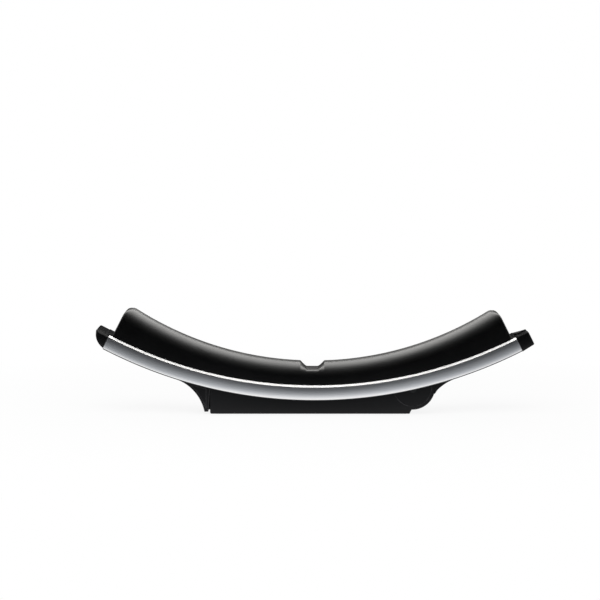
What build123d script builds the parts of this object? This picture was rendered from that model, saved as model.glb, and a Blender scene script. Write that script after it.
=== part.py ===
from build123d import *
import os
from math import asin, cos, degrees, radians, sin, sqrt

# A tilting kayak carrier for a roof bar. Lengths are millimetres and angles are degrees.
# X runs along the roof bar, Y across the saddle, Z up. The origin is midway between the two
# bolt slots on the face that lies on the bar. The saddle is drawn lowered.

# Saddle channel, a bent aluminium section that is open underneath; its middle leads the arc's
# lowest point a little to the left
ARC_RADIUS = 808.0
CHANNEL_MID_TOP = 52.0
CHANNEL_LENGTH = 773.0
CHANNEL_LEAD = 4.3
CHANNEL_WIDTH = 80.0
CHANNEL_HEIGHT = 29.0
CHANNEL_WALL = 3.0
CHANNEL_BEVEL = 3.6
CHANNEL_FLAT = 8.0
CHANNEL_TUCK = 7.0

# Hull pad
PAD_MID_THICKNESS = 40.0
PAD_END_THICKNESS = 62.0
PAD_END_SETBACK = 5.0
PAD_SHOULDER = 27.0
PAD_CORNER = 18.0
PAD_CORNER_RISE = 0.4
KEEL_GROOVE_WIDTH = 45.0
KEEL_GROOVE_FLOOR = 22.0
KEEL_GROOVE_DEPTH = 12.0
KEEL_GROOVE_ROUND = 4.0

# End caps
CAP_DROP = 26.5
NOSE_LENGTH = 26.5
NOSE_BULGE = 5.8
NOSE_PLAN_ROUND = 9.0
NOSE_EDGE_ROUND = 1.3
STRAP_BLOCK_LENGTH = 22.5
STRAP_BLOCK_RISE = 2.6
STRAP_GROOVE_WIDTH = 28.0
STRAP_GROOVE_DEPTH = 9.0
STRAP_GROOVE_ROUND = 6.0
CAP_CORNER_ROUND = 2.4
PLUG_LENGTH = 30.0
PLUG_DEPTH = 21.0
PLUG_WALL = 4.0
CAP_LIP = 1.6
CAP_LIP_ROOT = 6.0

# Hinge and tilt
HINGE_X = 180.0
HINGE_Z = 47.5
TILT_MAX = 31.0
PIN_DIAMETER = 10.0
PIN_HEAD_DIAMETER = 16.0
PIN_HEAD_HEIGHT = 2.5
PIN_END_MARGIN = 1.0
RETAINER_THICKNESS = 1.5
BUSH_WALL = 2.0
BUSH_FLANGE = 1.5
BUSH_FLANGE_WIDTH = 3.0
BUSH_LENGTH = 10.0
BARREL_WALL = 6.0
BRACKET_PLATE = 4.0
BRACKET_BACK = 38.0
BRACKET_FRONT = 20.0
BRACKET_SLOT = 16.0
BRACKET_SCREW_MARGIN = 12.0

# Base
BASE_LEFT = 187.0
BASE_RIGHT_SETBACK = 5.5
BASE_WALL = 4.0
BASE_FLOOR = 4.2
BASE_EDGE_ROUND = 1.5
BASE_CORNER_ROUND = 3.0
BASE_WALL_LAP = 6.0
KNUCKLE_RADIUS = 39.4
KNUCKLE_RECESS_RADIUS = 35.0
KNUCKLE_RECESS_DEPTH = 0.8
KNUCKLE_WALL = 3.5
KNUCKLE_START_ANGLE = -92.0
KNUCKLE_TOP_ANGLE = 8.0
EAR_TOP_RADIUS = 14.0
EAR_START_ANGLE = 70.0
EAR_END_ANGLE = 150.0
EAR_STEP = 28.0
EAR_THICKNESS = 9.0
WALL_RIB_COUNT = 9
WALL_RIB_THICKNESS = 3.0
WALL_RIB_DEPTH = 5.0
WALL_RIB_DROP = 4.0
POST_X = -152.0
POST_THICKNESS = 6.0
POST_WIDTH = 30.0
BUFFER_HEIGHT = 5.0
BUFFER_SKIRT = 6.0
BUFFER_SKIN = 2.0

# Sole, floor plate and bolt slots
SOLE_THICKNESS = 2.6
SOLE_PROUD = 0.8
SOLE_MARGIN = 6.0
PLATE_THICKNESS = 2.0
PLATE_END_MARGIN = 12.0
BOLT_SPACING = 250.0
BOLT_SLOT_WIDTH = 8.6
BOLT_SLOT_LENGTH = 26.0

# Leg and hinge guard
SIDE_PLAY = 1.5
SIDE_EDGE_ROUND = 1.0
LEG_GAP = 3.3
LEG_CLEARANCE = 4.0
LEG_TOE = 7.0
LEG_REACH = 60.0
LEG_RIM = 4.0
LEG_RECESS = 1.2
LEG_WALL = 4.0
LEG_RIB_REACH = 2.2
GUARD_REACH = 81.0
GUARD_GAP = 1.6
GUARD_TIP_ANGLE = -17.0
GUARD_WALL = 4.0
GUARD_BOSS = 12.0

# Prop and rack
PROP_PIVOT_X = 30.0
PROP_PIVOT_DROP = 12.5
PROP_FOOT_X = -92.0
PROP_FOOT_Z = 16.0
PROP_RATIO = 2.3
PROP_WIDTH = 22.0
PROP_EYE_RADIUS = 8.0
PROP_PIN_DIAMETER = 8.0
PROP_WAIST = 5.0
PROP_FOOT_RADIUS = 4.0
PROP_FOOT_ROD_LENGTH = 34.0
PROP_POCKET_DEPTH = 7.0
PROP_EAR_THICKNESS = 3.0
PROP_PLATE = 2.5
PROP_PLATE_LENGTH = 44.0
PROP_RIVET_SPACING = 31.0
PROP_RIVET_TAIL = 7.0
PROP_PIN_HEAD_DIAMETER = 13.0
RACK_WIDTH = 30.0
RACK_GAP = 1.2
RACK_RUN_OUT = 14.0
RACK_FOOT = 10.0
NOTCH_DROP = 3.0

# Fasteners
WEB_SCREW_DIAMETER = 5.0
WEB_SCREW_HEAD = 10.0
WEB_SCREW_LENGTH = 16.0
SMALL_SCREW_DIAMETER = 4.0
SMALL_SCREW_HEAD = 8.0
SMALL_SCREW_HEAD_HEIGHT = 2.6
SOCKET_WIDTH = 3.0
SOCKET_DEPTH = 1.4
SCREW_ROW = 28.0
PAD_SCREW_ANGLES = (-22.0, -6.0, 6.0, 22.0)
PAD_SCREW_LENGTH = 16.0

# Clearances
SEAT_GAP = 0.1
PAD_SEAT_GAP = 0.3
SCREW_PLAY = 0.1
FIT_PLAY = 0.05
MOVING_GAP = 0.4
LOOSE_GAP = 0.5
BASE_SIDE_GAP = 2.5

# Sizes that follow
ARC_CENTRE_Z = CHANNEL_MID_TOP + ARC_RADIUS
WEB_UNDER = ARC_RADIUS + CHANNEL_WALL
SEAT_RADIUS = WEB_UNDER + SEAT_GAP
CHANNEL_BOTTOM = ARC_RADIUS + CHANNEL_HEIGHT
CHANNEL_END = degrees(CHANNEL_LENGTH / 2 / ARC_RADIUS)
LEAD_ANGLE = degrees(CHANNEL_LEAD / ARC_RADIUS)
TUCK_DROP = CHANNEL_HEIGHT - CHANNEL_FLAT
TUCK_RADIUS = (TUCK_DROP ** 2 + CHANNEL_TUCK ** 2) / (2 * CHANNEL_TUCK)
TUCK_ANGLE = degrees(asin(TUCK_DROP / TUCK_RADIUS))
TUCK_CENTRE_Y = CHANNEL_WIDTH / 2 - TUCK_RADIUS
LIP_HALF = TUCK_CENTRE_Y + (TUCK_RADIUS - CHANNEL_WALL) * cos(radians(TUCK_ANGLE))
PAD_HALF = CHANNEL_WIDTH / 2 - CHANNEL_BEVEL
PAD_END = degrees((CHANNEL_LENGTH / 2 - PAD_END_SETBACK) / ARC_RADIUS)
PAD_CROWN_Z = CHANNEL_MID_TOP + PAD_MID_THICKNESS
BASE_HALF = LIP_HALF - BASE_SIDE_GAP
BASE_RIM_Z = SOLE_PROUD
FLOOR_Z = BASE_RIM_Z + BASE_FLOOR
PLATE_TOP_Z = FLOOR_Z + SEAT_GAP + PLATE_THICKNESS
EAR_INSIDE = BASE_HALF - EAR_THICKNESS
BUSH_RADIUS = PIN_DIAMETER / 2 + BUSH_WALL
BARREL_RADIUS = BUSH_RADIUS + BARREL_WALL
BRACKET_HALF = EAR_INSIDE - MOVING_GAP - BUSH_FLANGE
SIDE_HALF = LIP_HALF - SIDE_PLAY
PROP_PIVOT_Z = ARC_CENTRE_Z - sqrt(WEB_UNDER ** 2 - PROP_PIVOT_X ** 2) - PROP_PIVOT_DROP
ARC_AXIS = Axis((0, 0, ARC_CENTRE_Z), (0, -1, 0))


def arc_point(angle, radius):
    """Point (x, z) on a circle about the saddle's centre, angle measured from straight down."""
    return (radius * sin(radians(angle)), ARC_CENTRE_Z - radius * cos(radians(angle)))


def arc_angle(x, radius):
    """Angle from straight down of the point with this x on a circle about the saddle's centre."""
    return degrees(asin(x / radius))


def arc_edge(radius, start, end):
    """Edge along a circle about the saddle's centre."""
    return CenterArc((0, ARC_CENTRE_Z), radius, start - 90, end - start)


def seat_frame(angle, radius, y=0.0):
    """Plane on the arc with x along the saddle and z towards the arc's centre."""
    x, z = arc_point(angle, radius)
    along = (cos(radians(angle)), 0, sin(radians(angle)))
    up = (-sin(radians(angle)), 0, cos(radians(angle)))
    return Plane(origin=(x, y, z), x_dir=along, z_dir=up).location


def end_frame(side):
    """Frame at a channel end (side -1 left, 1 right) with x outwards and z up from the top face."""
    angle = side * CHANNEL_END - LEAD_ANGLE
    x, z = arc_point(angle, ARC_RADIUS)
    outward = (side * cos(radians(angle)), 0, side * sin(radians(angle)))
    up = (-sin(radians(angle)), 0, cos(radians(angle)))
    return Plane(origin=(x, 0, z), x_dir=outward, z_dir=up).location


def slab(face, half_width):
    """Side outline thickened equally to both sides of the middle plane."""
    return extrude(Plane.XZ * face, amount=half_width, both=True)


def arc_band(inner, outer, start, end):
    """Side outline between two circles about the saddle's centre."""
    near = arc_edge(inner, start, end)
    far = arc_edge(outer, start, end)
    return make_face([near, Line(near @ 1, far @ 1), far, Line(far @ 0, near @ 0)])


def around_arc(section, start, end):
    """Section drawn at mid length, turned about the saddle's centre from start to end."""
    placed = Plane(origin=(0, 0, CHANNEL_MID_TOP), x_dir=(0, 1, 0), z_dir=(1, 0, 0)) * section
    return revolve(placed.rotate(ARC_AXIS, start), axis=ARC_AXIS, revolution_arc=end - start)


def both_halves(half):
    """Section joined to its mirror image."""
    return half + mirror(half, about=Plane.YZ)


def closed_outline(corners):
    """Outline of the channel's width, closed underneath, with these corners at its top, height zero."""
    side = Polyline((0, 0), *corners, (CHANNEL_WIDTH / 2, -CHANNEL_FLAT))
    tuck = CenterArc((TUCK_CENTRE_Y, -CHANNEL_FLAT), TUCK_RADIUS, 0, -TUCK_ANGLE)
    close = Polyline(tuck @ 1, (0, -CHANNEL_HEIGHT), (0, 0))
    return both_halves(make_face([*side.edges(), tuck, *close.edges()]))


def outer_section():
    """Channel outline with its bevelled top edges."""
    half = CHANNEL_WIDTH / 2
    return closed_outline([(half - CHANNEL_BEVEL, 0), (half, -CHANNEL_BEVEL)])


def inner_section():
    """Hollow of the channel, running out below its lower edges."""
    half = CHANNEL_WIDTH / 2 - CHANNEL_WALL
    bevel = CHANNEL_BEVEL - CHANNEL_WALL * (2 - sqrt(2))
    top = -CHANNEL_WALL
    side = Polyline((0, top), (half - bevel, top), (half, top - bevel), (half, -CHANNEL_FLAT))
    tuck = CenterArc((TUCK_CENTRE_Y, -CHANNEL_FLAT), TUCK_RADIUS - CHANNEL_WALL, 0, -TUCK_ANGLE)
    away = tuck @ 1 + (tuck @ 1 - Vector(TUCK_CENTRE_Y, -CHANNEL_FLAT)).normalized() * CHANNEL_HEIGHT
    close = Polyline(tuck @ 1, away, (0, away.Y), (0, top))
    return both_halves(make_face([*side.edges(), tuck, *close.edges()]))


def turned(point, angle, centre):
    """Point (x, z) turned about a centre; a positive angle lifts what lies to the left."""
    dx = point[0] - centre[0]
    dz = point[1] - centre[1]
    c = cos(radians(angle))
    s = sin(radians(angle))
    return (centre[0] + dx * c + dz * s, centre[1] - dx * s + dz * c)


def prop_foot_at(tilt):
    """Place of the prop's foot when the saddle is tilted and the prop follows it."""
    hinge = (HINGE_X, HINGE_Z)
    pivot = turned((PROP_PIVOT_X, PROP_PIVOT_Z), tilt, hinge)
    foot = turned((PROP_FOOT_X, PROP_FOOT_Z), tilt, hinge)
    return turned(foot, -PROP_RATIO * tilt, pivot)


def knuckle_point(angle, radius):
    """Point (x, z) about the hinge, angle measured from +X towards +Z."""
    return (HINGE_X + radius * cos(radians(angle)), HINGE_Z + radius * sin(radians(angle)))


def cross_rod(x, z, radius, half_width):
    """Rod across the saddle, centred on the middle plane."""
    return Pos(x, 0, z) * Rot(90, 0, 0) * Cylinder(radius, 2 * half_width)


def cross_disc(x, z, radius, start, end):
    """Disc across the saddle between two y values."""
    return Pos(x, (start + end) / 2, z) * Rot(90, 0, 0) * Cylinder(radius, abs(end - start))


def screw_cut(radius, depth):
    """Straight hole going down from height zero."""
    return Pos(0, 0, -depth / 2) * Cylinder(radius, depth)


def socket(depth):
    """Hexagon key socket going down from height zero."""
    return extrude(RegularPolygon(SOCKET_WIDTH / 2, 6, major_radius=False), amount=-depth)


def flush_screw(diameter, head, length, play=0.0):
    """Countersunk screw going down from height zero, or its hole when play is given."""
    radius = diameter / 2 + play
    head_radius = head / 2 + play
    head_height = head_radius - radius
    cone = Pos(0, 0, -head_height / 2) * Cone(radius, head_radius, head_height)
    return cone + screw_cut(radius, length)


def socket_flush_screw():
    """Countersunk screw with a key socket, sunk a little below height zero."""
    body = Pos(0, 0, -SEAT_GAP) * flush_screw(WEB_SCREW_DIAMETER, WEB_SCREW_HEAD, WEB_SCREW_LENGTH)
    return body - socket(SOCKET_DEPTH + SEAT_GAP)


def pan_screw(length):
    """Round-headed screw pointing up: the head hangs below height zero."""
    shank = Pos(0, 0, length / 2) * Cylinder(SMALL_SCREW_DIAMETER / 2, length)
    head = Pos(0, 0, -SMALL_SCREW_HEAD_HEIGHT / 2) * Cylinder(SMALL_SCREW_HEAD / 2, SMALL_SCREW_HEAD_HEIGHT)
    key = Pos(0, 0, SOCKET_DEPTH - SMALL_SCREW_HEAD_HEIGHT) * socket(SOCKET_DEPTH)
    return shank + head - key


def web_screw_frames(angles, row):
    """Frames on the channel's top face for a row of screws at each angle."""
    return [seat_frame(angle, ARC_RADIUS, side * row / 2) for angle in angles for side in (-1, 1)]


def cut_all(body, frames, cutter):
    """Body with the cutter removed at every frame."""
    for frame in frames:
        body = body - frame * cutter
    return body


# Screw places along the saddle
LEG_TOP_RIGHT = -(BASE_LEFT + LEG_GAP)
LEG_ANGLE_RIGHT = arc_angle(LEG_TOP_RIGHT, SEAT_RADIUS)
LEG_ANGLE_LEFT = arc_angle(LEG_TOP_RIGHT - LEG_REACH, CHANNEL_BOTTOM)
GUARD_ANGLE_RIGHT = arc_angle(HINGE_X + GUARD_REACH, CHANNEL_BOTTOM)
GUARD_RADIUS = KNUCKLE_RADIUS + GUARD_GAP
GUARD_ANGLE_LEFT = arc_angle(HINGE_X + GUARD_RADIUS, SEAT_RADIUS)
BRACKET_LEFT = arc_angle(HINGE_X - BRACKET_BACK, SEAT_RADIUS)
BRACKET_RIGHT = arc_angle(HINGE_X + BRACKET_FRONT, SEAT_RADIUS)
BRACKET_SCREW_INSET = degrees(BRACKET_SCREW_MARGIN / SEAT_RADIUS)
PROP_ANGLE = arc_angle(PROP_PIVOT_X, SEAT_RADIUS)
PROP_PLATE_TURN = degrees(PROP_PLATE_LENGTH / 2 / SEAT_RADIUS)
PROP_RIVET_TURN = degrees(PROP_RIVET_SPACING / 2 / SEAT_RADIUS)
PLUG_SCREW_TURN = degrees(PLUG_LENGTH / 2 / ARC_RADIUS)

LEG_FRAMES = web_screw_frames([(LEG_ANGLE_LEFT + LEG_ANGLE_RIGHT) / 2], SCREW_ROW)
GUARD_FRAMES = web_screw_frames([(GUARD_ANGLE_LEFT + GUARD_ANGLE_RIGHT) / 2], SCREW_ROW)
BRACKET_FRAMES = web_screw_frames([BRACKET_LEFT + BRACKET_SCREW_INSET, BRACKET_RIGHT - BRACKET_SCREW_INSET],
                                  BRACKET_HALF)
PROP_FRAMES = web_screw_frames([PROP_ANGLE - PROP_RIVET_TURN, PROP_ANGLE + PROP_RIVET_TURN], PROP_WIDTH / 2)
PAD_FRAMES = [seat_frame(angle - LEAD_ANGLE, WEB_UNDER) for angle in PAD_SCREW_ANGLES]
PLUG_ANGLE = CHANNEL_END - PLUG_SCREW_TURN
PLUG_FRAMES = [seat_frame(side * PLUG_ANGLE - LEAD_ANGLE, SEAT_RADIUS + PLUG_WALL, across * SCREW_ROW / 2)
               for side in (-1, 1) for across in (-1, 1)]


def saddle_channel():
    """Bent aluminium channel with every screw hole through its top web."""
    section = outer_section() - inner_section()
    body = around_arc(section, -CHANNEL_END - LEAD_ANGLE, CHANNEL_END - LEAD_ANGLE)
    sunk = flush_screw(WEB_SCREW_DIAMETER, WEB_SCREW_HEAD, 2 * CHANNEL_WALL, SCREW_PLAY)
    body = cut_all(body, LEG_FRAMES + GUARD_FRAMES + BRACKET_FRAMES + PROP_FRAMES, sunk)
    plain = Cylinder(SMALL_SCREW_DIAMETER / 2 + SCREW_PLAY, 4 * CHANNEL_WALL)
    body = cut_all(body, PAD_FRAMES, plain)
    return cut_all(body, PLUG_FRAMES, Cylinder(SMALL_SCREW_DIAMETER / 2 + SCREW_PLAY, 6 * CHANNEL_WALL))


def pad_top_radius():
    """Radius of the pad's crown, through its middle and its two ends."""
    end_x, end_z = arc_point(PAD_END, ARC_RADIUS - PAD_END_THICKNESS)
    rise = end_z - PAD_CROWN_Z
    return (end_x ** 2 + rise ** 2) / (2 * rise)


def pad_side_outline():
    """Side outline of the pad: seat arc, square ends and rounded end corners."""
    crown = pad_top_radius()
    crown_centre = Vector(0, PAD_CROWN_Z + crown)
    end = Vector(*arc_point(PAD_END, ARC_RADIUS - PAD_END_THICKNESS))
    down = (end - Vector(0, ARC_CENTRE_Z)).normalized()
    inward = Vector(-down.Y, down.X) * -1
    # the corner circle touches the end face and just breaks through the crown
    reach = crown + PAD_CORNER - PAD_CORNER_RISE
    start = end + inward * PAD_CORNER
    to_centre = start - crown_centre
    along = to_centre.dot(down)
    slide = -along + sqrt(along ** 2 - to_centre.dot(to_centre) + reach ** 2)
    centre = start + down * slide
    low = centre - inward * PAD_CORNER
    top = centre + (crown_centre - centre).normalized() * PAD_CORNER
    middle = centre + (low - centre + top - centre).normalized() * PAD_CORNER
    seat_low = Vector(*arc_point(PAD_END, ARC_RADIUS - PAD_SEAT_GAP))
    lift = top + (crown_centre - top).normalized() * PAD_CORNER
    seat = arc_edge(ARC_RADIUS - PAD_SEAT_GAP, 0, PAD_END)
    half = [Line(seat_low, low), ThreePointArc(low, middle, top), Line(top, lift), Line(lift, (0, lift.Y)),
            Line((0, lift.Y), seat @ 0), seat]
    return both_halves(make_face(half))


def keel_groove_outline():
    """Side outline of the keel groove across the pad's middle."""
    floor = PAD_CROWN_Z - KEEL_GROOVE_DEPTH
    slope = (KEEL_GROOVE_WIDTH - KEEL_GROOVE_FLOOR) / 2 / KEEL_GROOVE_DEPTH
    top = PAD_CROWN_Z + KEEL_GROOVE_DEPTH
    wide = KEEL_GROOVE_WIDTH / 2 + slope * KEEL_GROOVE_DEPTH
    narrow = KEEL_GROOVE_FLOOR / 2
    face = make_face(Polyline((-wide, top), (-narrow, floor), (narrow, floor), (wide, top), close=True).edges())
    return fillet(face.vertices().group_by(Axis.Y)[0], KEEL_GROOVE_ROUND)


def hull_pad():
    """Pad with rounded shoulders, thicker towards its ends, with the keel groove across it."""
    crown = pad_top_radius()
    depth = PAD_END_THICKNESS * 2
    section = Pos(0, PAD_CROWN_Z - depth / 2) * Rectangle(2 * PAD_HALF, depth)
    section = fillet(section.vertices().group_by(Axis.Y)[-1], PAD_SHOULDER)
    spread = 2 * PAD_END
    axis = Axis((0, 0, PAD_CROWN_Z + crown), (0, -1, 0))
    bar = revolve((Plane.YZ * section).rotate(axis, -spread), axis=axis, revolution_arc=2 * spread)
    body = bar & slab(pad_side_outline(), CHANNEL_WIDTH)
    body = body - slab(keel_groove_outline(), CHANNEL_WIDTH)
    body = body.rotate(ARC_AXIS, -LEAD_ANGLE)
    depth = PAD_SCREW_LENGTH + CHANNEL_WALL
    bore = Pos(0, 0, depth / 2) * Cylinder(SMALL_SCREW_DIAMETER / 2 + MOVING_GAP, depth)
    return cut_all(body, PAD_FRAMES, bore)


def cap_plug():
    """Curved plug that fills the channel end, hollow underneath around its screw bosses."""
    half = LIP_HALF - LOOSE_GAP
    top = -(CHANNEL_WALL + SEAT_GAP)
    axis = Axis((0, 0, ARC_RADIUS), (0, 1, 0))
    turn = degrees(PLUG_LENGTH / ARC_RADIUS)
    outside = Plane.YZ * (Pos(0, top - PLUG_DEPTH / 2) * Rectangle(2 * half, PLUG_DEPTH))
    body = revolve(outside, axis=axis, revolution_arc=turn)
    core = Plane.YZ * (Pos(0, top - PLUG_WALL - PLUG_DEPTH / 2) * Rectangle(2 * (half - PLUG_WALL), PLUG_DEPTH))
    core = revolve(core, axis=axis, revolution_arc=turn * (1 - PLUG_WALL / PLUG_LENGTH))
    middle = top - PLUG_DEPTH / 2 - CHANNEL_WALL
    rib = Pos(-PLUG_LENGTH / 2, 0, middle) * Box(PLUG_LENGTH, PLUG_WALL, PLUG_DEPTH)
    return body - core + (rib & body)


def cap_lip():
    """Low lip on top of a cap that reaches over the channel's web to the pad's end."""
    half = PAD_HALF - LOOSE_GAP
    axis = Axis((0, 0, ARC_RADIUS), (0, 1, 0))
    turn = degrees((PAD_END_SETBACK - LOOSE_GAP) / ARC_RADIUS)
    over = Plane.YZ * (Pos(0, SEAT_GAP + CAP_LIP / 2) * Rectangle(2 * half, CAP_LIP))
    root = Pos(CAP_LIP_ROOT / 2, 0, SEAT_GAP) * Box(CAP_LIP_ROOT, 2 * half, 2 * CAP_LIP)
    return revolve(over, axis=axis, revolution_arc=turn) + root


def cap_block(section, length, outline):
    """Part of a cap outside the channel: a section of the channel's width, trimmed to a side outline."""
    return extrude(Plane.YZ * section, amount=length) & slab(outline, CHANNEL_WIDTH)


def plug_holes(cap, side):
    """Cap placed at its end of the channel, with its screw holes and head recesses."""
    placed = end_frame(side) * cap
    hole = Cylinder(SMALL_SCREW_DIAMETER / 2 + SCREW_PLAY, 4 * PLUG_WALL)
    return cut_all(placed, PLUG_FRAMES, hole)


def nose_outline():
    """Side outline of the nose: flat top and a shallow arc from the tip to the foot of the joint."""
    tip = Vector(NOSE_LENGTH, 0)
    foot = Vector(0, -CAP_DROP)
    outward = Vector(tip.Y - foot.Y, foot.X - tip.X).normalized()
    middle = (tip + foot) / 2 + outward * NOSE_BULGE
    return make_face([ThreePointArc(tip, middle, foot), *Polyline(foot, (0, 0), tip).edges()])


def nose_cap():
    """Left end cap with a curved nose, rounded at its corners as seen from above."""
    block = cap_block(outer_section(), NOSE_LENGTH, nose_outline())
    plan = Rectangle(2 * NOSE_LENGTH, CHANNEL_WIDTH)
    plan = fillet(plan.vertices().group_by(Axis.X)[-1], NOSE_PLAN_ROUND)
    block = block & extrude(plan, amount=2 * CHANNEL_HEIGHT, both=True)
    shown = block.faces().filter_by(lambda face: face.center().X > NOSE_EDGE_ROUND)
    nose = max(shown, key=lambda face: face.area)
    block = fillet(nose.edges().filter_by(lambda edge: edge.center().X > NOSE_EDGE_ROUND), NOSE_EDGE_ROUND)
    return plug_holes(block + cap_plug() + cap_lip(), -1)


def strap_cap():
    """Right end cap: a square block with a strap groove over its top and down its end."""
    length = STRAP_BLOCK_LENGTH
    low = -CAP_DROP
    outline = Polyline((0, 0), (length, 0), (length, low + STRAP_BLOCK_RISE), (0, low), close=True)
    square = closed_outline([(CHANNEL_WIDTH / 2, 0)])
    block = cap_block(square, length, make_face(outline.edges()))
    block = fillet(block.faces().sort_by(Axis.X)[-1].edges(), CAP_CORNER_ROUND)
    body = block + cap_plug() + cap_lip()
    floor = -STRAP_GROOVE_DEPTH
    wall = length - STRAP_GROOVE_DEPTH / 2
    corners = Polyline((0, 2 * CAP_LIP), (0, floor), (wall, floor), (wall, 2 * low), (2 * length, 2 * low),
                       (2 * length, 2 * CAP_LIP), close=True)
    groove = make_face(corners.edges())
    bend = groove.vertices().sort_by_distance((wall, floor))[0]
    groove = fillet(bend, STRAP_GROOVE_ROUND)
    return plug_holes(body - slab(groove, STRAP_GROOVE_WIDTH / 2), 1)


def end_cap_screws():
    """Four screws that hold the two caps up against the channel's web."""
    return Compound([frame * pan_screw(PLUG_WALL + CHANNEL_WALL) for frame in PLUG_FRAMES])


def pad_screws():
    """Screws from under the web into the pad."""
    return Compound([frame * Pos(0, 0, -SEAT_GAP) * pan_screw(PAD_SCREW_LENGTH) for frame in PAD_FRAMES])


def web_screws(frames):
    """Group of countersunk screws down through the web."""
    return Compound([frame * socket_flush_screw() for frame in frames])


def rounded_slab(outline):
    """Side outline thickened for a leg or guard, with its lower curved edges rounded."""
    body = slab(outline, SIDE_HALF)
    curves = body.edges().filter_by(GeomType.CIRCLE)
    lowest = min(edge.bounding_box().min.Z for edge in curves)
    return fillet(curves.filter_by(lambda edge: edge.bounding_box().min.Z < lowest + FIT_PLAY), SIDE_EDGE_ROUND)


def leg_outline():
    """Side outline of the leg: seat under the web, upright back and hollow front curve."""
    right = LEG_TOP_RIGHT
    toe_left = right - LEG_TOE
    start = Vector(*arc_point(LEG_ANGLE_LEFT, CHANNEL_BOTTOM))
    toe = Vector(toe_left, LEG_CLEARANCE)
    along = Vector(cos(radians(LEG_ANGLE_LEFT)), sin(radians(LEG_ANGLE_LEFT)))
    front = TangentArc(start, toe, tangent=along)
    seat = arc_edge(SEAT_RADIUS, LEG_ANGLE_LEFT, LEG_ANGLE_RIGHT)
    return make_face([front, Line(toe, (right, LEG_CLEARANCE)), Line((right, LEG_CLEARANCE), seat @ 1), seat,
                      Line(seat @ 0, start)])


def support_leg():
    """Moulded leg under the saddle's left half with a raised rim along its curved front."""
    outline = leg_outline()
    body = rounded_slab(outline)
    below = arc_band(CHANNEL_BOTTOM + LEG_RIM / 2, CHANNEL_BOTTOM + LEG_REACH * 2, -2 * CHANNEL_END, 0)
    panel = offset(outline, amount=-LEG_RIM) & below
    recess = extrude(Plane.XZ * panel, amount=LEG_RECESS)
    for side in (-1, 1):
        shift = SIDE_HALF if side > 0 else LEG_RECESS - SIDE_HALF
        body = body - Pos(0, shift, 0) * recess
    lower = Pos(LEG_TOP_RIGHT - LEG_REACH / 2, HINGE_Z / 2) * Rectangle(LEG_REACH, HINGE_Z)
    hollow = offset(outline, amount=-LEG_WALL) & lower
    core = slab(hollow, SIDE_HALF - LEG_RECESS - LEG_WALL)
    mouth = Pos(LEG_WALL, 0, 0) * core
    rib = Pos(LEG_TOP_RIGHT, 0, 0) * Box(2 * LEG_REACH, LEG_WALL, 4 * HINGE_Z)
    body = body - (core + mouth - rib)
    # the middle rib stands out towards the base and closes most of the gap
    rib_height = HINGE_Z - LEG_CLEARANCE
    rib_end = Box(2 * LEG_RIB_REACH, LEG_WALL, rib_height)
    body = body + Pos(LEG_TOP_RIGHT, 0, LEG_CLEARANCE + rib_height / 2) * rib_end
    hole = screw_cut(WEB_SCREW_DIAMETER / 2 + SCREW_PLAY, WEB_SCREW_LENGTH + LOOSE_GAP)
    return cut_all(body, LEG_FRAMES, hole)


def hinge_guard():
    """Moulded fillet under the saddle to the right of the knuckle."""
    tip = Vector(*knuckle_point(GUARD_TIP_ANGLE, GUARD_RADIUS))
    start = Vector(*arc_point(GUARD_ANGLE_RIGHT, CHANNEL_BOTTOM))
    along = Vector(-cos(radians(GUARD_ANGLE_RIGHT)), -sin(radians(GUARD_ANGLE_RIGHT)))
    under = TangentArc(start, tip, tangent=along)
    high = ARC_CENTRE_Z
    outside = make_face([under, Line(tip, (tip.X, high)), Line((tip.X, high), (start.X, high)),
                         Line((start.X, high), start)])
    outline = outside & arc_band(SEAT_RADIUS, CHANNEL_BOTTOM + KNUCKLE_RADIUS, 0, GUARD_ANGLE_RIGHT)
    outline = outline - Pos(HINGE_X, HINGE_Z) * Circle(GUARD_RADIUS)
    body = rounded_slab(outline)
    # hollowed from the knuckle side, with a solid boss around each screw
    core = slab(offset(outline, amount=-GUARD_WALL), SIDE_HALF - GUARD_WALL)
    core = core + Pos(-GUARD_WALL, 0, 0) * core
    boss = Box(4 * GUARD_REACH, GUARD_BOSS, 4 * GUARD_REACH)
    for side in (-1, 1):
        core = core - Pos(HINGE_X, side * SCREW_ROW / 2, HINGE_Z) * boss
    body = body - core
    hole = screw_cut(WEB_SCREW_DIAMETER / 2 + SCREW_PLAY, WEB_SCREW_LENGTH + LOOSE_GAP)
    return cut_all(body, GUARD_FRAMES, hole)


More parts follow.
